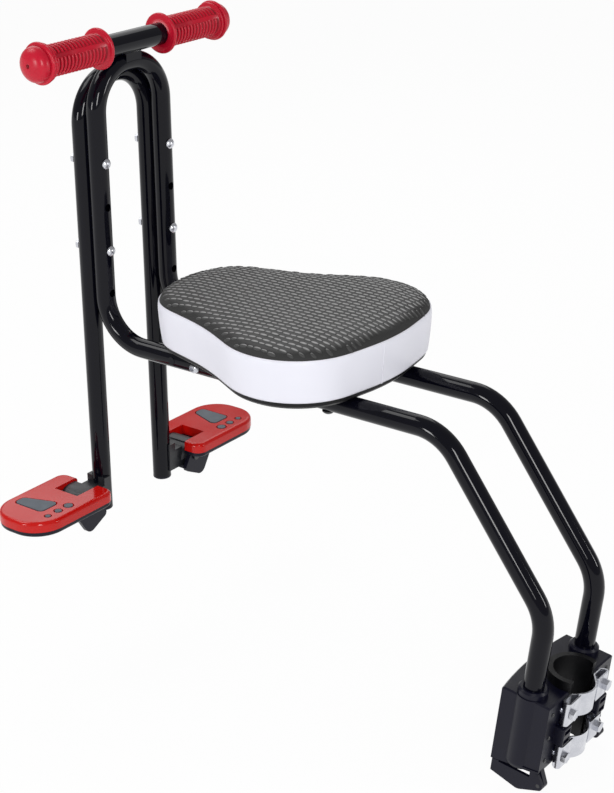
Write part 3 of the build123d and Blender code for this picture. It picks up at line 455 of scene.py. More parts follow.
@dataclass
class Footrest:
    """One folding footrest and its bracket.

    The joint is the gap round an inlay, and a face counts as its wall below that upward part of its normal.
    """

    side: Side
    joint: float = 0.7 * MM
    wall_slope: float = 0.5

    def dress(self, frame: Frame) -> None:
        """Give the shell, base and bracket their finishes."""
        word = self.side.word
        coat_nodes(frame, (f"{word}_footrest_shell",), GLOSS_RED)
        coat_nodes(frame, (f"{word}_footrest_base",), FILLED_NYLON)
        coat_nodes(frame, (f"{word}_footrest_bracket",), SATIN_ENAMEL)

    def build(self, frame: Frame) -> bpy.types.Object:
        """Mould the rubber inlays a little small, so that a dark joint shows round each.

        Args:
            frame: the loaded frame.

        Returns:
            The inlays.
        """
        node = f"{self.side.word}_footrest_inlays"
        source = frame["nodes"][node]
        shape = bmesh.new()
        shape.from_mesh(source.data)
        shape.transform(source.matrix_world)
        bmesh.ops.remove_doubles(shape, verts=shape.verts, dist=MERGE)
        shape.normal_update()
        moves = []
        for vertex in shape.verts:
            walls = [face.normal for face in vertex.link_faces if abs(face.normal.z) < self.wall_slope]
            outward = sum(walls, Vector()) * Vector((1, 1, 0))
            moves.append(outward.normalized() * self.joint)
        for vertex, move in zip(shape.verts, moves):
            vertex.co -= move
        mesh = bpy.data.meshes.new(f"{node}_rubber")
        shape.to_mesh(mesh)
        shape.free()
        piece = new_object(mesh.name, mesh, INLAY_RUBBER)
        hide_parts(node)
        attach(piece, f"{self.side.word}_footrest")
        LOG.info("%s: %d faces", piece.name, len(mesh.polygons))
        return piece


@dataclass
class Grip:
    """Flanged rubber grip, turned about the handlebar, with ribbed panels between smooth strips.

    Lengths are metres; the overall length and the flange come from the frame.
    """

    side: Side
    bore_radius: float = 11.15 * MM
    body_radius: float = 14.2 * MM
    flange_width: float = 4.0 * MM
    groove_width: float = 1.2 * MM
    groove_radius: float = 15.5 * MM
    step_width: float = 2.6 * MM
    step_radius: float = 19.0 * MM
    nose_length: float = 12.5 * MM
    nose_radius: float = 17.5 * MM
    nose_power: float = 2.5
    vent_radius: float = 2.1 * MM
    vent_depth: float = 3.5 * MM
    bar_clearance: float = 0.5 * MM
    rib_count: int = 14
    rib_radius: float = 1.3 * MM
    panel_count: int = 4
    panel_fill: float = 0.8
    panel_turn: float = 0.35
    segments: int = 96
    nose_steps: int = 16
    rim_steps: int = 8
    arc_points: int = 20
    rib_facets: int = 8

    def profile(self, length: float, flange: float) -> list[tuple[float, float]]:
        """Draw half of the grip's section.

        Args:
            length: distance from the inner face to the tip of the nose.
            flange: radius of the flanges.

        Returns:
            Points as distance from the inner face and radius, from the bore's end round to the vent.
        """
        points = [(length - self.vent_depth - 2 * self.bar_clearance, 0.0)]
        points += [(points[0][0], self.bore_radius), (0.0, self.bore_radius)]
        points += self.disc(0.0, self.flange_width, flange, self.bore_radius, self.body_radius)
        nose = length - self.nose_length
        wide = nose - self.groove_width - self.flange_width
        step = wide - self.groove_width - self.step_width
        neck = self.groove_radius
        points += self.disc(step, step + self.step_width, self.step_radius, self.body_radius, neck)
        points += self.disc(wide, wide + self.flange_width, flange, neck, neck)
        points.append((nose, neck))
        for i in range(self.nose_steps + 1):
            share = math.sin(math.radians(90) * i / self.nose_steps)
            radius = self.nose_radius * (1 - share ** self.nose_power) ** (1 / self.nose_power)
            points.append((nose + self.nose_length * share, max(self.vent_radius, radius)))
        points += [(length - self.vent_depth, self.vent_radius), (length - self.vent_depth, 0.0)]
        return points

    def disc(self, start: float, end: float, radius: float, before: float,
             after: float) -> list[tuple[float, float]]:
        """Draw the rounded rim of a flange.

        Args:
            start: distance of its first face.
            end: distance of its second face.
            radius: radius of the rim.
            before: radius where the first face begins.
            after: radius where the second face ends.

        Returns:
            Points as distance and radius.
        """
        half = (end - start) / 2
        points = [(start, before)]
        for i in range(self.rim_steps + 1):
            turn = math.pi * i / self.rim_steps
            points.append((start + half - half * math.cos(turn), radius - half + half * math.sin(turn)))
        points.append((end, after))
        return points

    def rib_tree(self, sizes: dict[str, float]) -> bpy.types.NodeTree:
        """Build the tree that lays ribbed panels along the body.

        Args:
            sizes: named sizes of the ribs, with the numbers of ribs and panels.

        Returns:
            A geometry tree that adds the ribs to its input.
        """
        tree, given, result = new_tree("grip_ribs", sizes)
        arc = add_node(tree, "GeometryNodeCurveArc", {
            "Resolution": self.arc_points, "Radius": given["Radius"], "Sweep Angle": given["Sweep"]})
        wire = add_node(tree, "GeometryNodeCurvePrimitiveCircle",
                        {"Resolution": self.rib_facets, "Radius": given["Rib"]})
        rib = add_node(tree, "GeometryNodeCurveToMesh",
                       {"Curve": arc, "Profile Curve": wire, "Fill Caps": True})
        upright = add_node(tree, "GeometryNodeTransform",
                           {"Geometry": rib, "Rotation": (math.pi / 2, 0.0, 0.0)})
        first = add_node(tree, "ShaderNodeCombineXYZ", {"Y": given["Start"]})
        step = add_node(tree, "ShaderNodeCombineXYZ", {"Y": given["Pitch"]})
        row = add_node(tree, "GeometryNodeMeshLine",
                       {"Count": given["Ribs"], "Start Location": first, "Offset": step})
        copies = add_node(tree, "GeometryNodeDuplicateElements",
                          {"Geometry": row, "Amount": given["Panels"]}, domain="POINT")
        share = add_node(tree, "ShaderNodeMath", {0: math.tau, 1: given["Panels"]}, operation="DIVIDE")
        panel = copies.outputs["Duplicate Index"]
        turn = add_node(tree, "ShaderNodeMath", {0: panel, 1: share, 2: given["Turn"]},
                        operation="MULTIPLY_ADD")
        spin = add_node(tree, "ShaderNodeCombineXYZ", {"Y": turn})
        ribs = add_node(tree, "GeometryNodeInstanceOnPoints",
                        {"Points": copies, "Instance": upright, "Rotation": spin})
        centre = add_node(tree, "ShaderNodeCombineXYZ", {"X": given["Depth"], "Z": given["Height"]})
        placed = add_node(tree, "GeometryNodeTransform", {"Geometry": ribs, "Translation": centre})
        solid = add_node(tree, "GeometryNodeRealizeInstances", {"Geometry": placed})
        both = add_node(tree, "GeometryNodeJoinGeometry", {"Geometry": solid})
        tree.links.new(given["Geometry"], both.inputs["Geometry"])
        smooth = add_node(tree, "GeometryNodeSetShadeSmooth", {"Geometry": both})
        rubber = add_node(tree, "GeometryNodeSetMaterial",
                          {"Geometry": smooth, "Material": GRIP_RUBBER.material()})
        # Painted shade: the marked faces between the ribs and in the vent get the darker rubber.
        groove = add_node(tree, "GeometryNodeInputNamedAttribute", {"Name": "groove"}, data_type="FLOAT")
        shaded = add_node(tree, "GeometryNodeSetMaterial",
                          {"Geometry": rubber, "Selection": groove, "Material": GRIP_PAINTED_SHADE.material()})
        tree.links.new(shaded.outputs["Geometry"], result["Geometry"])
        return tree

    def body(self, name: str, inner: float, low: Vector, high: Vector) -> bpy.types.Mesh:
        """Turn the body about the bar and mark the deep faces, between the ribs and in the vent, that get
        painted shade.

        Args:
            name: name of the mesh.
            inner: place of the face that is nearer to the bar's middle.
            low: lower corner of the grip's box.
            high: its upper corner.

        Returns:
            The body, with its deep faces marked in the attribute "groove".
        """
        middle = (low + high) / 2
        section = self.profile(high.y - low.y, (high.z - low.z) / 2)
        panel = math.tau / self.panel_count
        shape = bmesh.new()
        rings, painted_shade_flags = [], []
        for along, radius in section:
            turns = self.segments if radius > 0 else 1
            rings.append([
                shape.verts.new((
                    middle.x + radius * math.cos(math.tau * i / turns), inner + self.side.value * along,
                    middle.z + radius * math.sin(math.tau * i / turns),
                )) for i in range(turns)
            ])
        for k, (one, two) in enumerate(zip(rings, rings[1:])):
            widest = max(section[k][1], section[k + 1][1])
            level = section[k][1] == section[k + 1][1] == self.body_radius
            for i in range(self.segments):
                turn = (math.tau * (i + 0.5) / self.segments + self.panel_turn) % panel
                ribbed = level and turn < panel * self.panel_fill
                facet = [one[i % len(one)], two[i % len(two)],
                         two[(i + 1) % len(two)], one[(i + 1) % len(one)]]
                shape.faces.new(list(dict.fromkeys(facet)))
                # Painted shade: faces between the ribs and in the vent are marked for the darker rubber.
                painted_shade_flags.append(float(ribbed or widest <= self.vent_radius))
        bmesh.ops.recalc_face_normals(shape, faces=shape.faces)
        mesh = bpy.data.meshes.new(name)
        shape.to_mesh(mesh)
        shape.free()
        mesh.attributes.new("groove", "FLOAT", "FACE").data.foreach_set("value", painted_shade_flags)
        return mesh

    def build(self) -> bpy.types.Object:
        """Turn the body, add its ribs and hang it on the frame.

        Returns:
            The grip.
        """
        node = f"{self.side.word}_grip"
        low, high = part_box(node)
        sign = self.side.value
        inner = low.y if self.side is Side.LEFT else high.y
        middle = (low + high) / 2
        piece = new_object(f"{node}_rubber", self.body(node, inner, low, high))
        outer = self.nose_length + 2 * self.groove_width + self.flange_width + self.step_width
        ribbed = high.y - low.y - outer - self.flange_width
        pitch = ribbed / (self.rib_count + 1)
        sizes = {
            "Start": inner + sign * (self.flange_width + pitch), "Pitch": sign * pitch,
            "Radius": self.body_radius, "Rib": self.rib_radius,
            "Sweep": math.tau / self.panel_count * self.panel_fill, "Turn": self.panel_turn,
            "Height": middle.z, "Depth": middle.x, "Ribs": self.rib_count, "Panels": self.panel_count,
        }
        run_tree(piece, self.rib_tree(sizes), sizes)
        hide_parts(node)
        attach(piece, "frame")
        LOG.info("%s: %d ribs in %d panels", piece.name, self.rib_count, self.panel_count)
        return piece


@dataclass
class Cushion:
    """Padded saddle: woven grey top, white side band, piping at both edges and one upright seam.

    Lengths are metres; the outline and the heights come from the frame.
    """

    columns: int = 208
    foot_slack: float = 0.05 * MM
    outline_passes: int = 6
    band_shares: tuple[float, ...] = (0.0, 0.08, 0.2, 0.35, 0.5, 0.65, 0.78, 0.88, 0.94, 0.98, 1.0)
    draft: float = 3.3 * MM
    bulge: float = 0.7 * MM
    rim_inset: float = 1.6 * MM
    rim_height: float = 4.5 * MM
    seam_drop: float = 5.4 * MM
    roll_rise: float = 10.5 * MM
    roll_depth: float = 4.5 * MM
    crown_rise: float = 2.6 * MM
    crown_depth: float = 36.0 * MM
    roll_insets: tuple[float, ...] = (1.0 * MM, 2.4 * MM, 4.4 * MM, 7.0 * MM, 10.4 * MM)
    grid: float = 5.5 * MM
    grid_gap: float = 0.75
    swell_limit: float = 1.6 * MM
    pressure: float = 4.0
    frames: int = 20
    stretch_stiffness: float = 40.0
    shear_stiffness: float = 20.0
    bend_stiffness: float = 10.0
    smoothing: int = 6
    easing: float = 0.5
    cord_radius: float = 0.8 * MM
    cord_facets: int = 10
    hem_lift: float = 0.9 * MM
    hem_inset: float = 0.72 * MM
    seam_at: float = 18.0 * MM
    float_pitch: float = 8.15 * MM
    float_rows: float = 6.7 * MM
    float_length: float = 9.4 * MM
    float_width: float = 3.9 * MM
    float_height: float = 1.3 * MM
    float_margin: float = 2.0 * MM
    float_shrink: float = 0.2
    float_spares: int = 3
    float_above: float = 50.0 * MM
    float_drop: float = 75.0 * MM
    float_segments: int = 12
    float_rings: int = 7
    rim_index: list[int] = field(default_factory=list)
    hem_path: list[Vector] = field(default_factory=list)
    seam_index: list[int] = field(default_factory=list)
    top_index: list[int] = field(default_factory=list)

    def read_outline(self, frame: Frame) -> list[Vector]:
        """Read the cushion's foot from the frame and let it out to the widest outline.

        Args:
            frame: the loaded frame.

        Returns:
            Evenly spaced points round the cushion, at zero height.
        """
        node = frame["nodes"]["seat_cushion"]
        low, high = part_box("seat_cushion")
        middle = (low + high) / 2
        points = [node.matrix_world @ vertex.co for vertex in node.data.vertices]
        foot = [point for point in points if abs(point.z - low.z) < self.foot_slack]
        ring = {(round(point.x, PLACES), round(point.y, PLACES)) for point in foot}
        turned = sorted(ring, key=lambda p: math.atan2(p[1] - middle.y, p[0] - middle.x))
        loop = [Vector((x, y, 0.0)) for x, y in turned]
        spans = [(b - a).length for a, b in zip(loop, loop[1:] + loop[:1])]
        step = sum(spans) / self.columns
        outline = []
        walked, index = 0.0, 0
        for i in range(self.columns):
            while walked + spans[index] < i * step:
                walked += spans[index]
                index += 1
            share = (i * step - walked) / spans[index]
            outline.append(loop[index].lerp(loop[(index + 1) % len(loop)], share))
        for _ in range(self.outline_passes):
            outline = [
                (outline[i - 1] + 2 * point + outline[(i + 1) % self.columns]) / 4
                for i, point in enumerate(outline)
            ]
        return [point - n * self.draft for point, n in zip(outline, self.inward(outline))]

    @staticmethod
    def inward(outline: list[Vector]) -> list[Vector]:
        """Find the level direction into the cushion at each point of its outline.

        Args:
            outline: points round the cushion, anticlockwise.

        Returns:
            One unit vector for each point.
        """
        ahead = outline[1:] + outline[:1]
        behind = outline[-1:] + outline[:-1]
        return [Vector((a.y - b.y, b.x - a.x, 0.0)).normalized() for a, b in zip(behind, ahead)]

    def build(self, frame: Frame) -> list[bpy.types.Object]:
        """Build the cover, puff it, and add piping, seam and the weave's floats.

        Args:
            frame: the loaded frame.

        Returns:
            The cushion's pieces.
        """
        cover = self.cover(frame)
        self.puff(cover)
        floats = self.floats(cover)
        cords = self.cords(cover)
        self.subdivide(cover)
        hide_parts("seat_cushion")
        pieces = [cover, floats, cords]
        for piece in pieces:
            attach(piece, "frame")
            LOG.info("%s: %d faces", piece.name, len(piece.data.polygons))
        return pieces

    def rise(self, inset: float) -> float:
        """Height of the top above its seam, from the distance to the edge."""
        roll = self.roll_rise * (1 - math.exp(-inset / self.roll_depth))
        return roll + self.crown_rise * (1 - math.exp(-inset / self.crown_depth))

    def tuck(self, share: float, below: float) -> float:
        """Distance that the band lies inside the outline.

        Args:
            share: 0 at the band's foot, 1 at its seam.
            below: distance below the seam.

        Returns:
            The inset; negative where the band bulges.
        """
        rolled = max(0.0, 1 - below / self.rim_height) ** 2 * self.rim_inset
        return self.draft * (1 - share) - self.bulge * math.sin(math.pi * share) + rolled

    def cover(self, frame: Frame) -> bpy.types.Object:
        """Loft the band and fill the crowned top from the outline.

        Args:
            frame: the loaded frame.

        Returns:
            The closed cover, with the white band in slot 0 and the grey top in slot 1.
        """
        low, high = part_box("seat_cushion")
        outline = self.read_outline(frame)
        count = self.columns
        inward = self.inward(outline)
        seam = high.z - self.seam_drop
        shape = bmesh.new()
        crease = shape.edges.layers.float.new("crease_edge")
        rings = []
        for share in self.band_shares:
            height = low.z + (seam - low.z) * share
            tuck = self.tuck(share, seam - height)
            lift = Vector((0, 0, height))
            rings.append([shape.verts.new(p + n * tuck + lift) for p, n in zip(outline, inward)])
        band = len(rings) - 1
        depth = {vertex: 0.0 for ring in rings for vertex in ring}
        for inset in self.roll_insets:
            lift = Vector((0, 0, seam + self.rise(inset)))
            tuck = self.rim_inset + inset
            ring = [shape.verts.new(p + n * tuck + lift) for p, n in zip(outline, inward)]
            depth.update((vertex, inset) for vertex in ring)
            rings.append(ring)
        for level, (one, two) in enumerate(zip(rings, rings[1:])):
            for i in range(count):
                face = shape.faces.new((one[i], one[(i + 1) % count], two[(i + 1) % count], two[i]))
                face.material_index = 1 if level >= band else 0
        inner = self.fill(shape, rings[band], rings[-1], seam)
        depth.update(inner)
        sole = shape.verts.new(sum(outline, Vector()) / count + Vector((0, 0, low.z)))
        depth[sole] = 0.0
        for i in range(count):
            foot = shape.faces.new((rings[0][(i + 1) % count], rings[0][i], sole))
            # A full crease keeps the foot's edge from curling under when the cover is smoothed.
            foot.edges[0][crease] = 1.0
        shape.verts.index_update()
        self.rim_index = [vertex.index for vertex in rings[band]]
        hem_lift = Vector((0, 0, self.hem_lift))
        self.hem_path = [vertex.co + hem_lift + n * self.hem_inset for vertex, n in zip(rings[0], inward)]
        self.top_index = [vertex.index for ring in rings[band + 2:] for vertex in ring]
        self.top_index += [vertex.index for vertex in inner]
        rear = [i for i, point in enumerate(outline) if point.x < (low.x + high.x) / 2]
        column = min(rear, key=lambda i: abs(outline[i].y - self.seam_at))
        self.seam_index = [ring[column].index for ring in rings[:band + 1]]
        pinned = self.rim_index + [vertex.index for vertex in rings[0]] + [sole.index]
        depths = [depth[vertex] for vertex in shape.verts]
        bmesh.ops.recalc_face_normals(shape, faces=shape.faces)
        mesh = bpy.data.meshes.new("cushion_cover")
        shape.to_mesh(mesh)
        shape.free()
        mesh.shade_smooth()
        mesh.attributes.new("from_rim", "FLOAT", "POINT").data.foreach_set("value", depths)
        cover = new_object("cushion_cover", mesh, WHITE_VINYL, TOP_CLOTH)
        cover.vertex_groups.new(name="seams").add(pinned, 1.0, "REPLACE")
        return cover

    def fill(self, shape: bmesh.types.BMesh, rim: list[bmesh.types.BMVert], edge: list[bmesh.types.BMVert],
             seam: float) -> dict[bmesh.types.BMVert, float]:
        """Fill the top inside its rolled edge with an even net of triangles.

        Args:
            shape: the cover so far.
            rim: ring of the top seam.
            edge: innermost ring of the rolled edge.
            seam: height of the top seam.

        Returns:
            The new points, each with its distance from the rim.
        """
        ends = [vertex.co.xy for vertex in rim]
        border = [vertex.co.xy for vertex in edge]
        low_x, low_y = (min(point[k] for point in border) for k in (0, 1))
        high_x, high_y = (max(point[k] for point in border) for k in (0, 1))
        reach = self.roll_insets[-1] + self.grid_gap * self.grid
        # Rows of triangles with equal sides lie this far apart.
        step = self.grid * math.sqrt(0.75)
        depths: list[float] = []
        net = [point.copy() for point in border]
        for row in range(int((high_y - low_y) / step) + 1):
            for place in range(int((high_x - low_x) / self.grid) + 1):
                point = Vector((low_x + (place + row % 2 / 2) * self.grid, low_y + row * step))
                depth = min((point - end).length for end in ends)
                if depth > reach and self.inside(point, border):
                    net.append(point)
                    depths.append(depth)
        count = len(edge)
        ring = [(i, (i + 1) % count) for i in range(count)]
        _, _, faces, sources, _, _ = delaunay_2d_cdt(net, ring, [], INSIDE_ONLY, TINY)
        new = [
            shape.verts.new((point.x, point.y, seam + self.rise(depth)))
            for point, depth in zip(net[count:], depths)
        ]
        known = edge + new
        for face in faces:
            shape.faces.new([known[sources[corner][0]] for corner in face]).material_index = 1
        return dict(zip(new, depths))

    @staticmethod
    def inside(point: Vector, border: list[Vector]) -> bool:
        """Tell whether a point lies inside a closed border.

        Args:
            point: the point in plan.
            border: the border's corners in order.

        Returns:
            True where it lies inside.
        """
        crossings = 0
        for a, b in zip(border, border[1:] + border[:1]):
            if (a.y > point.y) != (b.y > point.y):
                crossings += point.x < a.x + (b.x - a.x) * (point.y - a.y) / (b.y - a.y)
        return crossings % 2 == 1

    def puff(self, cover: bpy.types.Object) -> None:
        """Swell the cover between its seams with a cloth simulation, then ease its top.

        Args:
            cover: the closed cover, with its seams in the vertex group of that name.
        """
        start = [vertex.co.copy() for vertex in cover.data.vertices]
        cloth = cover.modifiers.new("puff", "CLOTH")
        settings = cloth.settings
        settings.vertex_group_mass = "seams"
        settings.use_pressure = True
        settings.uniform_pressure_force = self.pressure
        settings.tension_stiffness = self.stretch_stiffness
        settings.compression_stiffness = self.stretch_stiffness
        settings.shear_stiffness = self.shear_stiffness
        settings.bending_stiffness = self.bend_stiffness
        settings.effector_weights.gravity = 0.0
        cloth.collision_settings.use_collision = False
        scene = bpy.context.scene
        for number in range(1, self.frames + 1):
            scene.frame_set(number)
        depsgraph = bpy.context.evaluated_depsgraph_get()
        swollen = [vertex.co.copy() for vertex in cover.evaluated_get(depsgraph).data.vertices]
        cover.modifiers.remove(cloth)
        scene.frame_set(1)
        for vertex, old, new in zip(cover.data.vertices, start, swollen):
            move = new - old
            vertex.co = old + move * min(1.0, self.swell_limit / max(move.length, TINY))
        shape = bmesh.new()
        shape.from_mesh(cover.data)
        shape.verts.ensure_lookup_table()
        top = [shape.verts[i] for i in self.top_index]
        for _ in range(self.smoothing):
            bmesh.ops.smooth_vert(shape, verts=top, factor=self.easing, use_axis_z=True)
        shape.to_mesh(cover.data)
        shape.free()
        LOG.info("cushion_cover: swelled over %d frames", self.frames)

    def subdivide(self, cover: bpy.types.Object) -> None:
        """Smooth the cover with one subdivision level, applied."""
        modifier = cover.modifiers.new("smooth", "SUBSURF")
        modifier.levels = 1
        modifier.render_levels = 1
        bake(cover, modifier)

    def cords(self, cover: bpy.types.Object) -> bpy.types.Object:
        """Run piping round the top edge and the foot, and a welt up the joint of the band.

        Args:
            cover: the puffed cover.

        Returns:
            The piping, as one mesh.
        """
        points = [vertex.co.copy() for vertex in cover.data.vertices]
        paths = [
            ([points[i] for i in self.rim_index], True),
            (self.hem_path, True),
            ([points[i] for i in self.seam_index], False),
        ]
        mesh = bpy.data.meshes.new("cushion_piping")
        places: list[tuple[float, ...]] = []
        edges = []
        for path, closed in paths:
            first = len(places)
            places += [tuple(point) for point in path]
            edges += [(first + i, first + i + 1) for i in range(len(path) - 1)]
            if closed:
                edges.append((len(places) - 1, first))
        mesh.from_pydata(places, edges, [])
        piece = new_object("cushion_piping", mesh)
        sizes = {"Radius": self.cord_radius, "Facets": self.cord_facets}
        tree, given, result = new_tree("piping_cord", sizes)
        route = add_node(tree, "GeometryNodeMeshToCurve", {"Mesh": given["Geometry"]})
        section = add_node(tree, "GeometryNodeCurvePrimitiveCircle",
                           {"Resolution": given["Facets"], "Radius": given["Radius"]})
        cord = add_node(tree, "GeometryNodeCurveToMesh",
                        {"Curve": route, "Profile Curve": section, "Fill Caps": True})
        smooth = add_node(tree, "GeometryNodeSetShadeSmooth", {"Geometry": cord})
        solid = add_node(tree, "GeometryNodeRealizeInstances", {"Geometry": smooth})
        vinyl = add_node(tree, "GeometryNodeSetMaterial",
                         {"Geometry": solid, "Material": PIPING_VINYL.material()})
        tree.links.new(vinyl.outputs["Geometry"], result["Geometry"])
        run_tree(piece, tree, sizes)
        return piece

    def floats(self, cover: bpy.types.Object) -> bpy.types.Object:
        """Lay the raised floats of the weave over the top, alternate ones smaller.

        Args:
            cover: the puffed cover.

        Returns:
            The floats, as one mesh.
        """
        piece = new_object("cushion_weave", cover.data.copy())
        low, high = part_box("seat_cushion")
        middle = (low + high) / 2
        sizes = {
            "Pitch": self.float_pitch, "Row": self.float_rows, "Length": self.float_length,
            "Width": self.float_width, "Height": self.float_height, "Margin": self.float_margin,
            "Middle X": middle.x, "Above": high.z + self.float_above, "Drop": self.float_drop,
            "Shrink": self.float_shrink,
            "Across": int((high.x - low.x) / self.float_pitch) + self.float_spares,
            "Rows": int((high.y - low.y) / self.float_rows) + self.float_spares,
            "Segments": self.float_segments, "Rings": self.float_rings,
        }
        run_tree(piece, self.float_tree(sizes), sizes)
        return piece

    @staticmethod
    def float_tree(sizes: dict[str, float]) -> bpy.types.NodeTree:
        """Build the tree that drops a grid of floats on the top and keeps those clear of its edge.

        Args:
            sizes: named sizes of the grid and of a float, with the numbers of floats and facets.

        Returns:
            A geometry tree that puts the floats in its input's place.
        """
        tree, given, result = new_tree("woven_floats", sizes)
        spans = []
        for pitch, number in (("Pitch", "Across"), ("Row", "Rows")):
            gaps = add_node(tree, "ShaderNodeMath", {0: given[number], 1: 1.0}, operation="SUBTRACT")
            spans.append(add_node(tree, "ShaderNodeMath", {0: given[pitch], 1: gaps}, operation="MULTIPLY"))
        grid = add_node(tree, "GeometryNodeMeshGrid", {
            "Size X": spans[0], "Size Y": spans[1],
            "Vertices X": given["Across"], "Vertices Y": given["Rows"]})
        index = add_node(tree, "GeometryNodeInputIndex")
        row = add_node(tree, "ShaderNodeMath", {0: index, 1: given["Rows"]}, operation="MODULO")
        column = add_node(tree, "ShaderNodeMath", {0: index, 1: given["Rows"]}, operation="DIVIDE")
        whole = add_node(tree, "ShaderNodeMath", {0: column}, operation="FLOOR")
        cell = add_node(tree, "ShaderNodeMath", {0: row, 1: whole}, operation="ADD")
        odd = add_node(tree, "ShaderNodeMath", {0: cell, 1: 2.0}, operation="MODULO")
        less = add_node(tree, "ShaderNodeMath", {0: odd, 1: given["Shrink"]}, operation="MULTIPLY")
        scale = add_node(tree, "ShaderNodeMath", {0: 1.0, 1: less}, operation="SUBTRACT")
        marked = add_node(tree, "GeometryNodeStoreNamedAttribute",
                          {"Geometry": grid, "Name": "scale", "Value": scale}, data_type="FLOAT")
        lift = add_node(tree, "ShaderNodeCombineXYZ", {"X": given["Middle X"], "Z": given["Above"]})
        sheet = add_node(tree, "GeometryNodeTransform", {"Geometry": marked, "Translation": lift})
        inset = add_node(tree, "GeometryNodeInputNamedAttribute", {"Name": "from_rim"}, data_type="FLOAT")
        fall = {"Target Geometry": given["Geometry"], "Ray Length": given["Drop"],
                "Ray Direction": (0.0, 0.0, -1.0)}
        ray = add_node(tree, "GeometryNodeRaycast", {**fall, "Attribute": inset}, data_type="FLOAT")
        clear = add_node(tree, "FunctionNodeCompare", {0: ray.outputs["Attribute"], 1: given["Margin"]},
                         data_type="FLOAT", operation="GREATER_THAN")
        kept = add_node(tree, "FunctionNodeBooleanMath", {0: ray, 1: clear}, operation="AND")
        points = add_node(tree, "GeometryNodeMeshToPoints", {"Mesh": sheet, "Selection": kept})
        drop = add_node(tree, "GeometryNodeRaycast", fall, data_type="FLOAT")
        laid = add_node(tree, "GeometryNodeSetPosition",
                        {"Geometry": points, "Position": drop.outputs["Hit Position"]})
        normal = add_node(tree, "GeometryNodeInputNormal")
        slope = add_node(tree, "GeometryNodeSampleNearestSurface",
                         {"Mesh": given["Geometry"], "Value": normal}, data_type="FLOAT_VECTOR")
        upright = add_node(tree, "FunctionNodeAlignRotationToVector", {"Vector": slope}, axis="Z")
        # A ball one unit wide is drawn out to the size of a float.
        ball = add_node(tree, "GeometryNodeMeshUVSphere",
                        {"Segments": given["Segments"], "Rings": given["Rings"], "Radius": 0.5})
        extent = add_node(tree, "ShaderNodeCombineXYZ",
                          {"X": given["Length"], "Y": given["Width"], "Z": given["Height"]})
        yarn = add_node(tree, "GeometryNodeTransform", {"Geometry": ball, "Scale": extent})
        shrink = add_node(tree, "GeometryNodeInputNamedAttribute", {"Name": "scale"}, data_type="FLOAT")
        copies = add_node(tree, "GeometryNodeInstanceOnPoints",
                          {"Points": laid, "Instance": yarn, "Rotation": upright, "Scale": shrink})
        solid = add_node(tree, "GeometryNodeRealizeInstances", {"Geometry": copies})
        smooth = add_node(tree, "GeometryNodeSetShadeSmooth", {"Geometry": solid})
        cloth = add_node(tree, "GeometryNodeSetMaterial",
                         {"Geometry": smooth, "Material": FLOAT_YARN.material()})
        tree.links.new(cloth.outputs["Geometry"], result["Geometry"])
        return tree

    def dress(self, frame: Frame) -> None:
        """Wrap the board under the cushion in its cloth."""
        coat_nodes(frame, ("seat_board",), BOARD_CLOTH)


@dataclass(frozen=True)
class SoftBox:
    """Soft box of the studio, in metres and watts."""

    name: str
    place: tuple[float, float, float]
    width: float
    height: float
    watts: float

    def hang(self, aim: Vector) -> None:
        """Hang the lamp in its place.

        Args:
            aim: point that it faces.
        """
        data = bpy.data.lights.new(self.name, "AREA")
        data.shape = "RECTANGLE"
        data.size, data.size_y = self.width, self.height
        data.energy = self.watts
        lamp = bpy.data.objects.new(self.name, data)
        lamp.location = self.place
        lamp.rotation_euler = (aim - Vector(self.place)).to_track_quat("-Z", "Y").to_euler()
        bpy.context.scene.collection.objects.link(lamp)
        LOG.info("%s: %g W", self.name, self.watts)


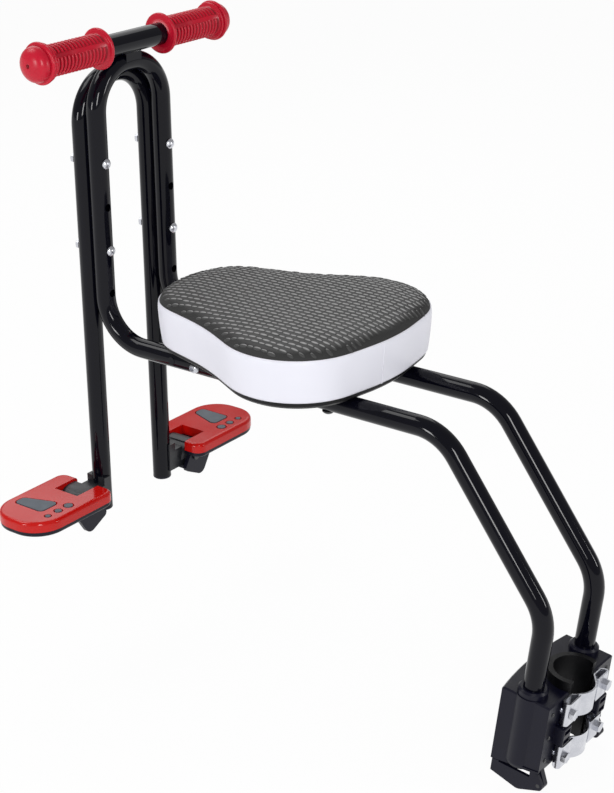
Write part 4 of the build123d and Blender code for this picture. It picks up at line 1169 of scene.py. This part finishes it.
@dataclass
class Studio:
    """White floor, soft lights and the camera at the photograph's place."""

    eye: Vector = field(default_factory=lambda: Vector((-0.69059, 1.32149, 0.93591)))
    gaze: Vector = field(default_factory=lambda: Vector((0.5555, -0.7370, -0.3851)))
    roll: float = math.radians(-0.564)
    lens: float = 82.43
    sight: float = 600.0
    floor_size: float = 400.0
    floor_gap: float = 2.0 * MM
    floor_lift: float = 0.96
    paper: str = "#f2f2f2"
    sky: float = 0.35
    aim: Vector = field(default_factory=lambda: Vector((0.25, 0.0, 0.25)))
    lamps: tuple[SoftBox, ...] = (
        SoftBox("camera_box", (-1.07, 1.47, 1.1), 0.36, 0.8, 17.0),
        SoftBox("left_strip", (0.78, 2.1, 0.76), 0.32, 0.5, 9.5),
        SoftBox("right_strip", (-1.72, -0.74, 0.76), 0.2, 0.6, 7.0),
        SoftBox("front_box", (1.58, 0.48, 2.06), 1.0, 1.0, 13.0),
        SoftBox("back_box", (1.64, -1.34, 1.78), 2.4, 1.6, 17.0),
    )

    def floor(self) -> bpy.types.Object:
        """Lay a matt white floor under the lowest point.

        Returns:
            The floor.
        """
        low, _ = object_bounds()
        half = self.floor_size / 2
        height = low[2] - self.floor_gap
        mesh = bpy.data.meshes.new("studio_floor")
        edge = [(-half, -half, height), (half, -half, height), (half, half, height), (-half, half, height)]
        mesh.from_pydata(edge, [], [(0, 1, 2, 3)])
        floor = bpy.data.objects.new("studio_floor", mesh)
        bpy.context.scene.collection.objects.link(floor)
        material = bpy.data.materials.new("white_paper")
        tree = bare_tree(material)
        paper = add_node(tree, "ShaderNodeBsdfDiffuse", {"Color": linear(self.paper)})
        glow = add_node(tree, "ShaderNodeEmission", {"Color": linear("#ffffff"), "Strength": 1.0})
        path = add_node(tree, "ShaderNodeLightPath").outputs
        seen = add_node(tree, "ShaderNodeMath",
                        {0: path["Is Camera Ray"], 1: path["Is Glossy Ray"]}, operation="MAXIMUM")
        any_seen = add_node(tree, "ShaderNodeMath",
                            {0: seen, 1: path["Is Transmission Ray"]}, operation="MAXIMUM")
        share = add_node(tree, "ShaderNodeMath", {0: any_seen, 1: self.floor_lift}, operation="MULTIPLY")
        mix = add_node(tree, "ShaderNodeMixShader", {0: share, 1: paper, 2: glow})
        add_node(tree, "ShaderNodeOutputMaterial", {"Surface": mix})
        mesh.materials.append(material)
        floor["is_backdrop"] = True
        return floor

    def light(self) -> None:
        """Light the seat with soft boxes and an even, dim sky."""
        for lamp in self.lamps:
            lamp.hang(self.aim)
        world = bpy.data.worlds.new("studio_sky")
        tree = bare_tree(world)
        background = add_node(tree, "ShaderNodeBackground",
                              {"Color": linear("#ffffff"), "Strength": self.sky})
        add_node(tree, "ShaderNodeOutputWorld", {"Surface": background})
        bpy.context.scene.world = world

    def camera(self) -> None:
        """Stand the camera where the photograph was taken."""
        gaze = self.gaze.normalized()
        level = gaze.cross(Vector((0, 0, 1))).normalized()
        raised = level.cross(gaze)
        right = level * math.cos(self.roll) + raised * math.sin(self.roll)
        up = raised * math.cos(self.roll) - level * math.sin(self.roll)
        data = bpy.data.cameras.new("photo_camera")
        data.lens = self.lens
        data.clip_end = self.sight
        camera = bpy.data.objects.new("photo_camera", data)
        turn = Matrix((right, up, -gaze)).transposed().to_4x4()
        camera.matrix_world = Matrix.Translation(self.eye) @ turn
        bpy.context.scene.collection.objects.link(camera)
        bpy.context.scene.camera = camera


def main() -> None:
    """Dress the seat and set up the studio."""
    logging.basicConfig(level=logging.INFO, format="%(message)s")
    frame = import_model()
    TubeFrame().dress(frame)
    Hardware().dress(frame)
    Clamp().dress(frame)
    for side in Side:
        footrest = Footrest(side)
        footrest.dress(frame)
        footrest.build(frame)
        Grip(side).build()
    cushion = Cushion()
    cushion.dress(frame)
    cushion.build(frame)
    studio = Studio()
    studio.floor()
    studio.light()
    studio.camera()
    bpy.context.scene.view_settings.view_transform = "Standard"


if __name__ == "__main__":
    main()
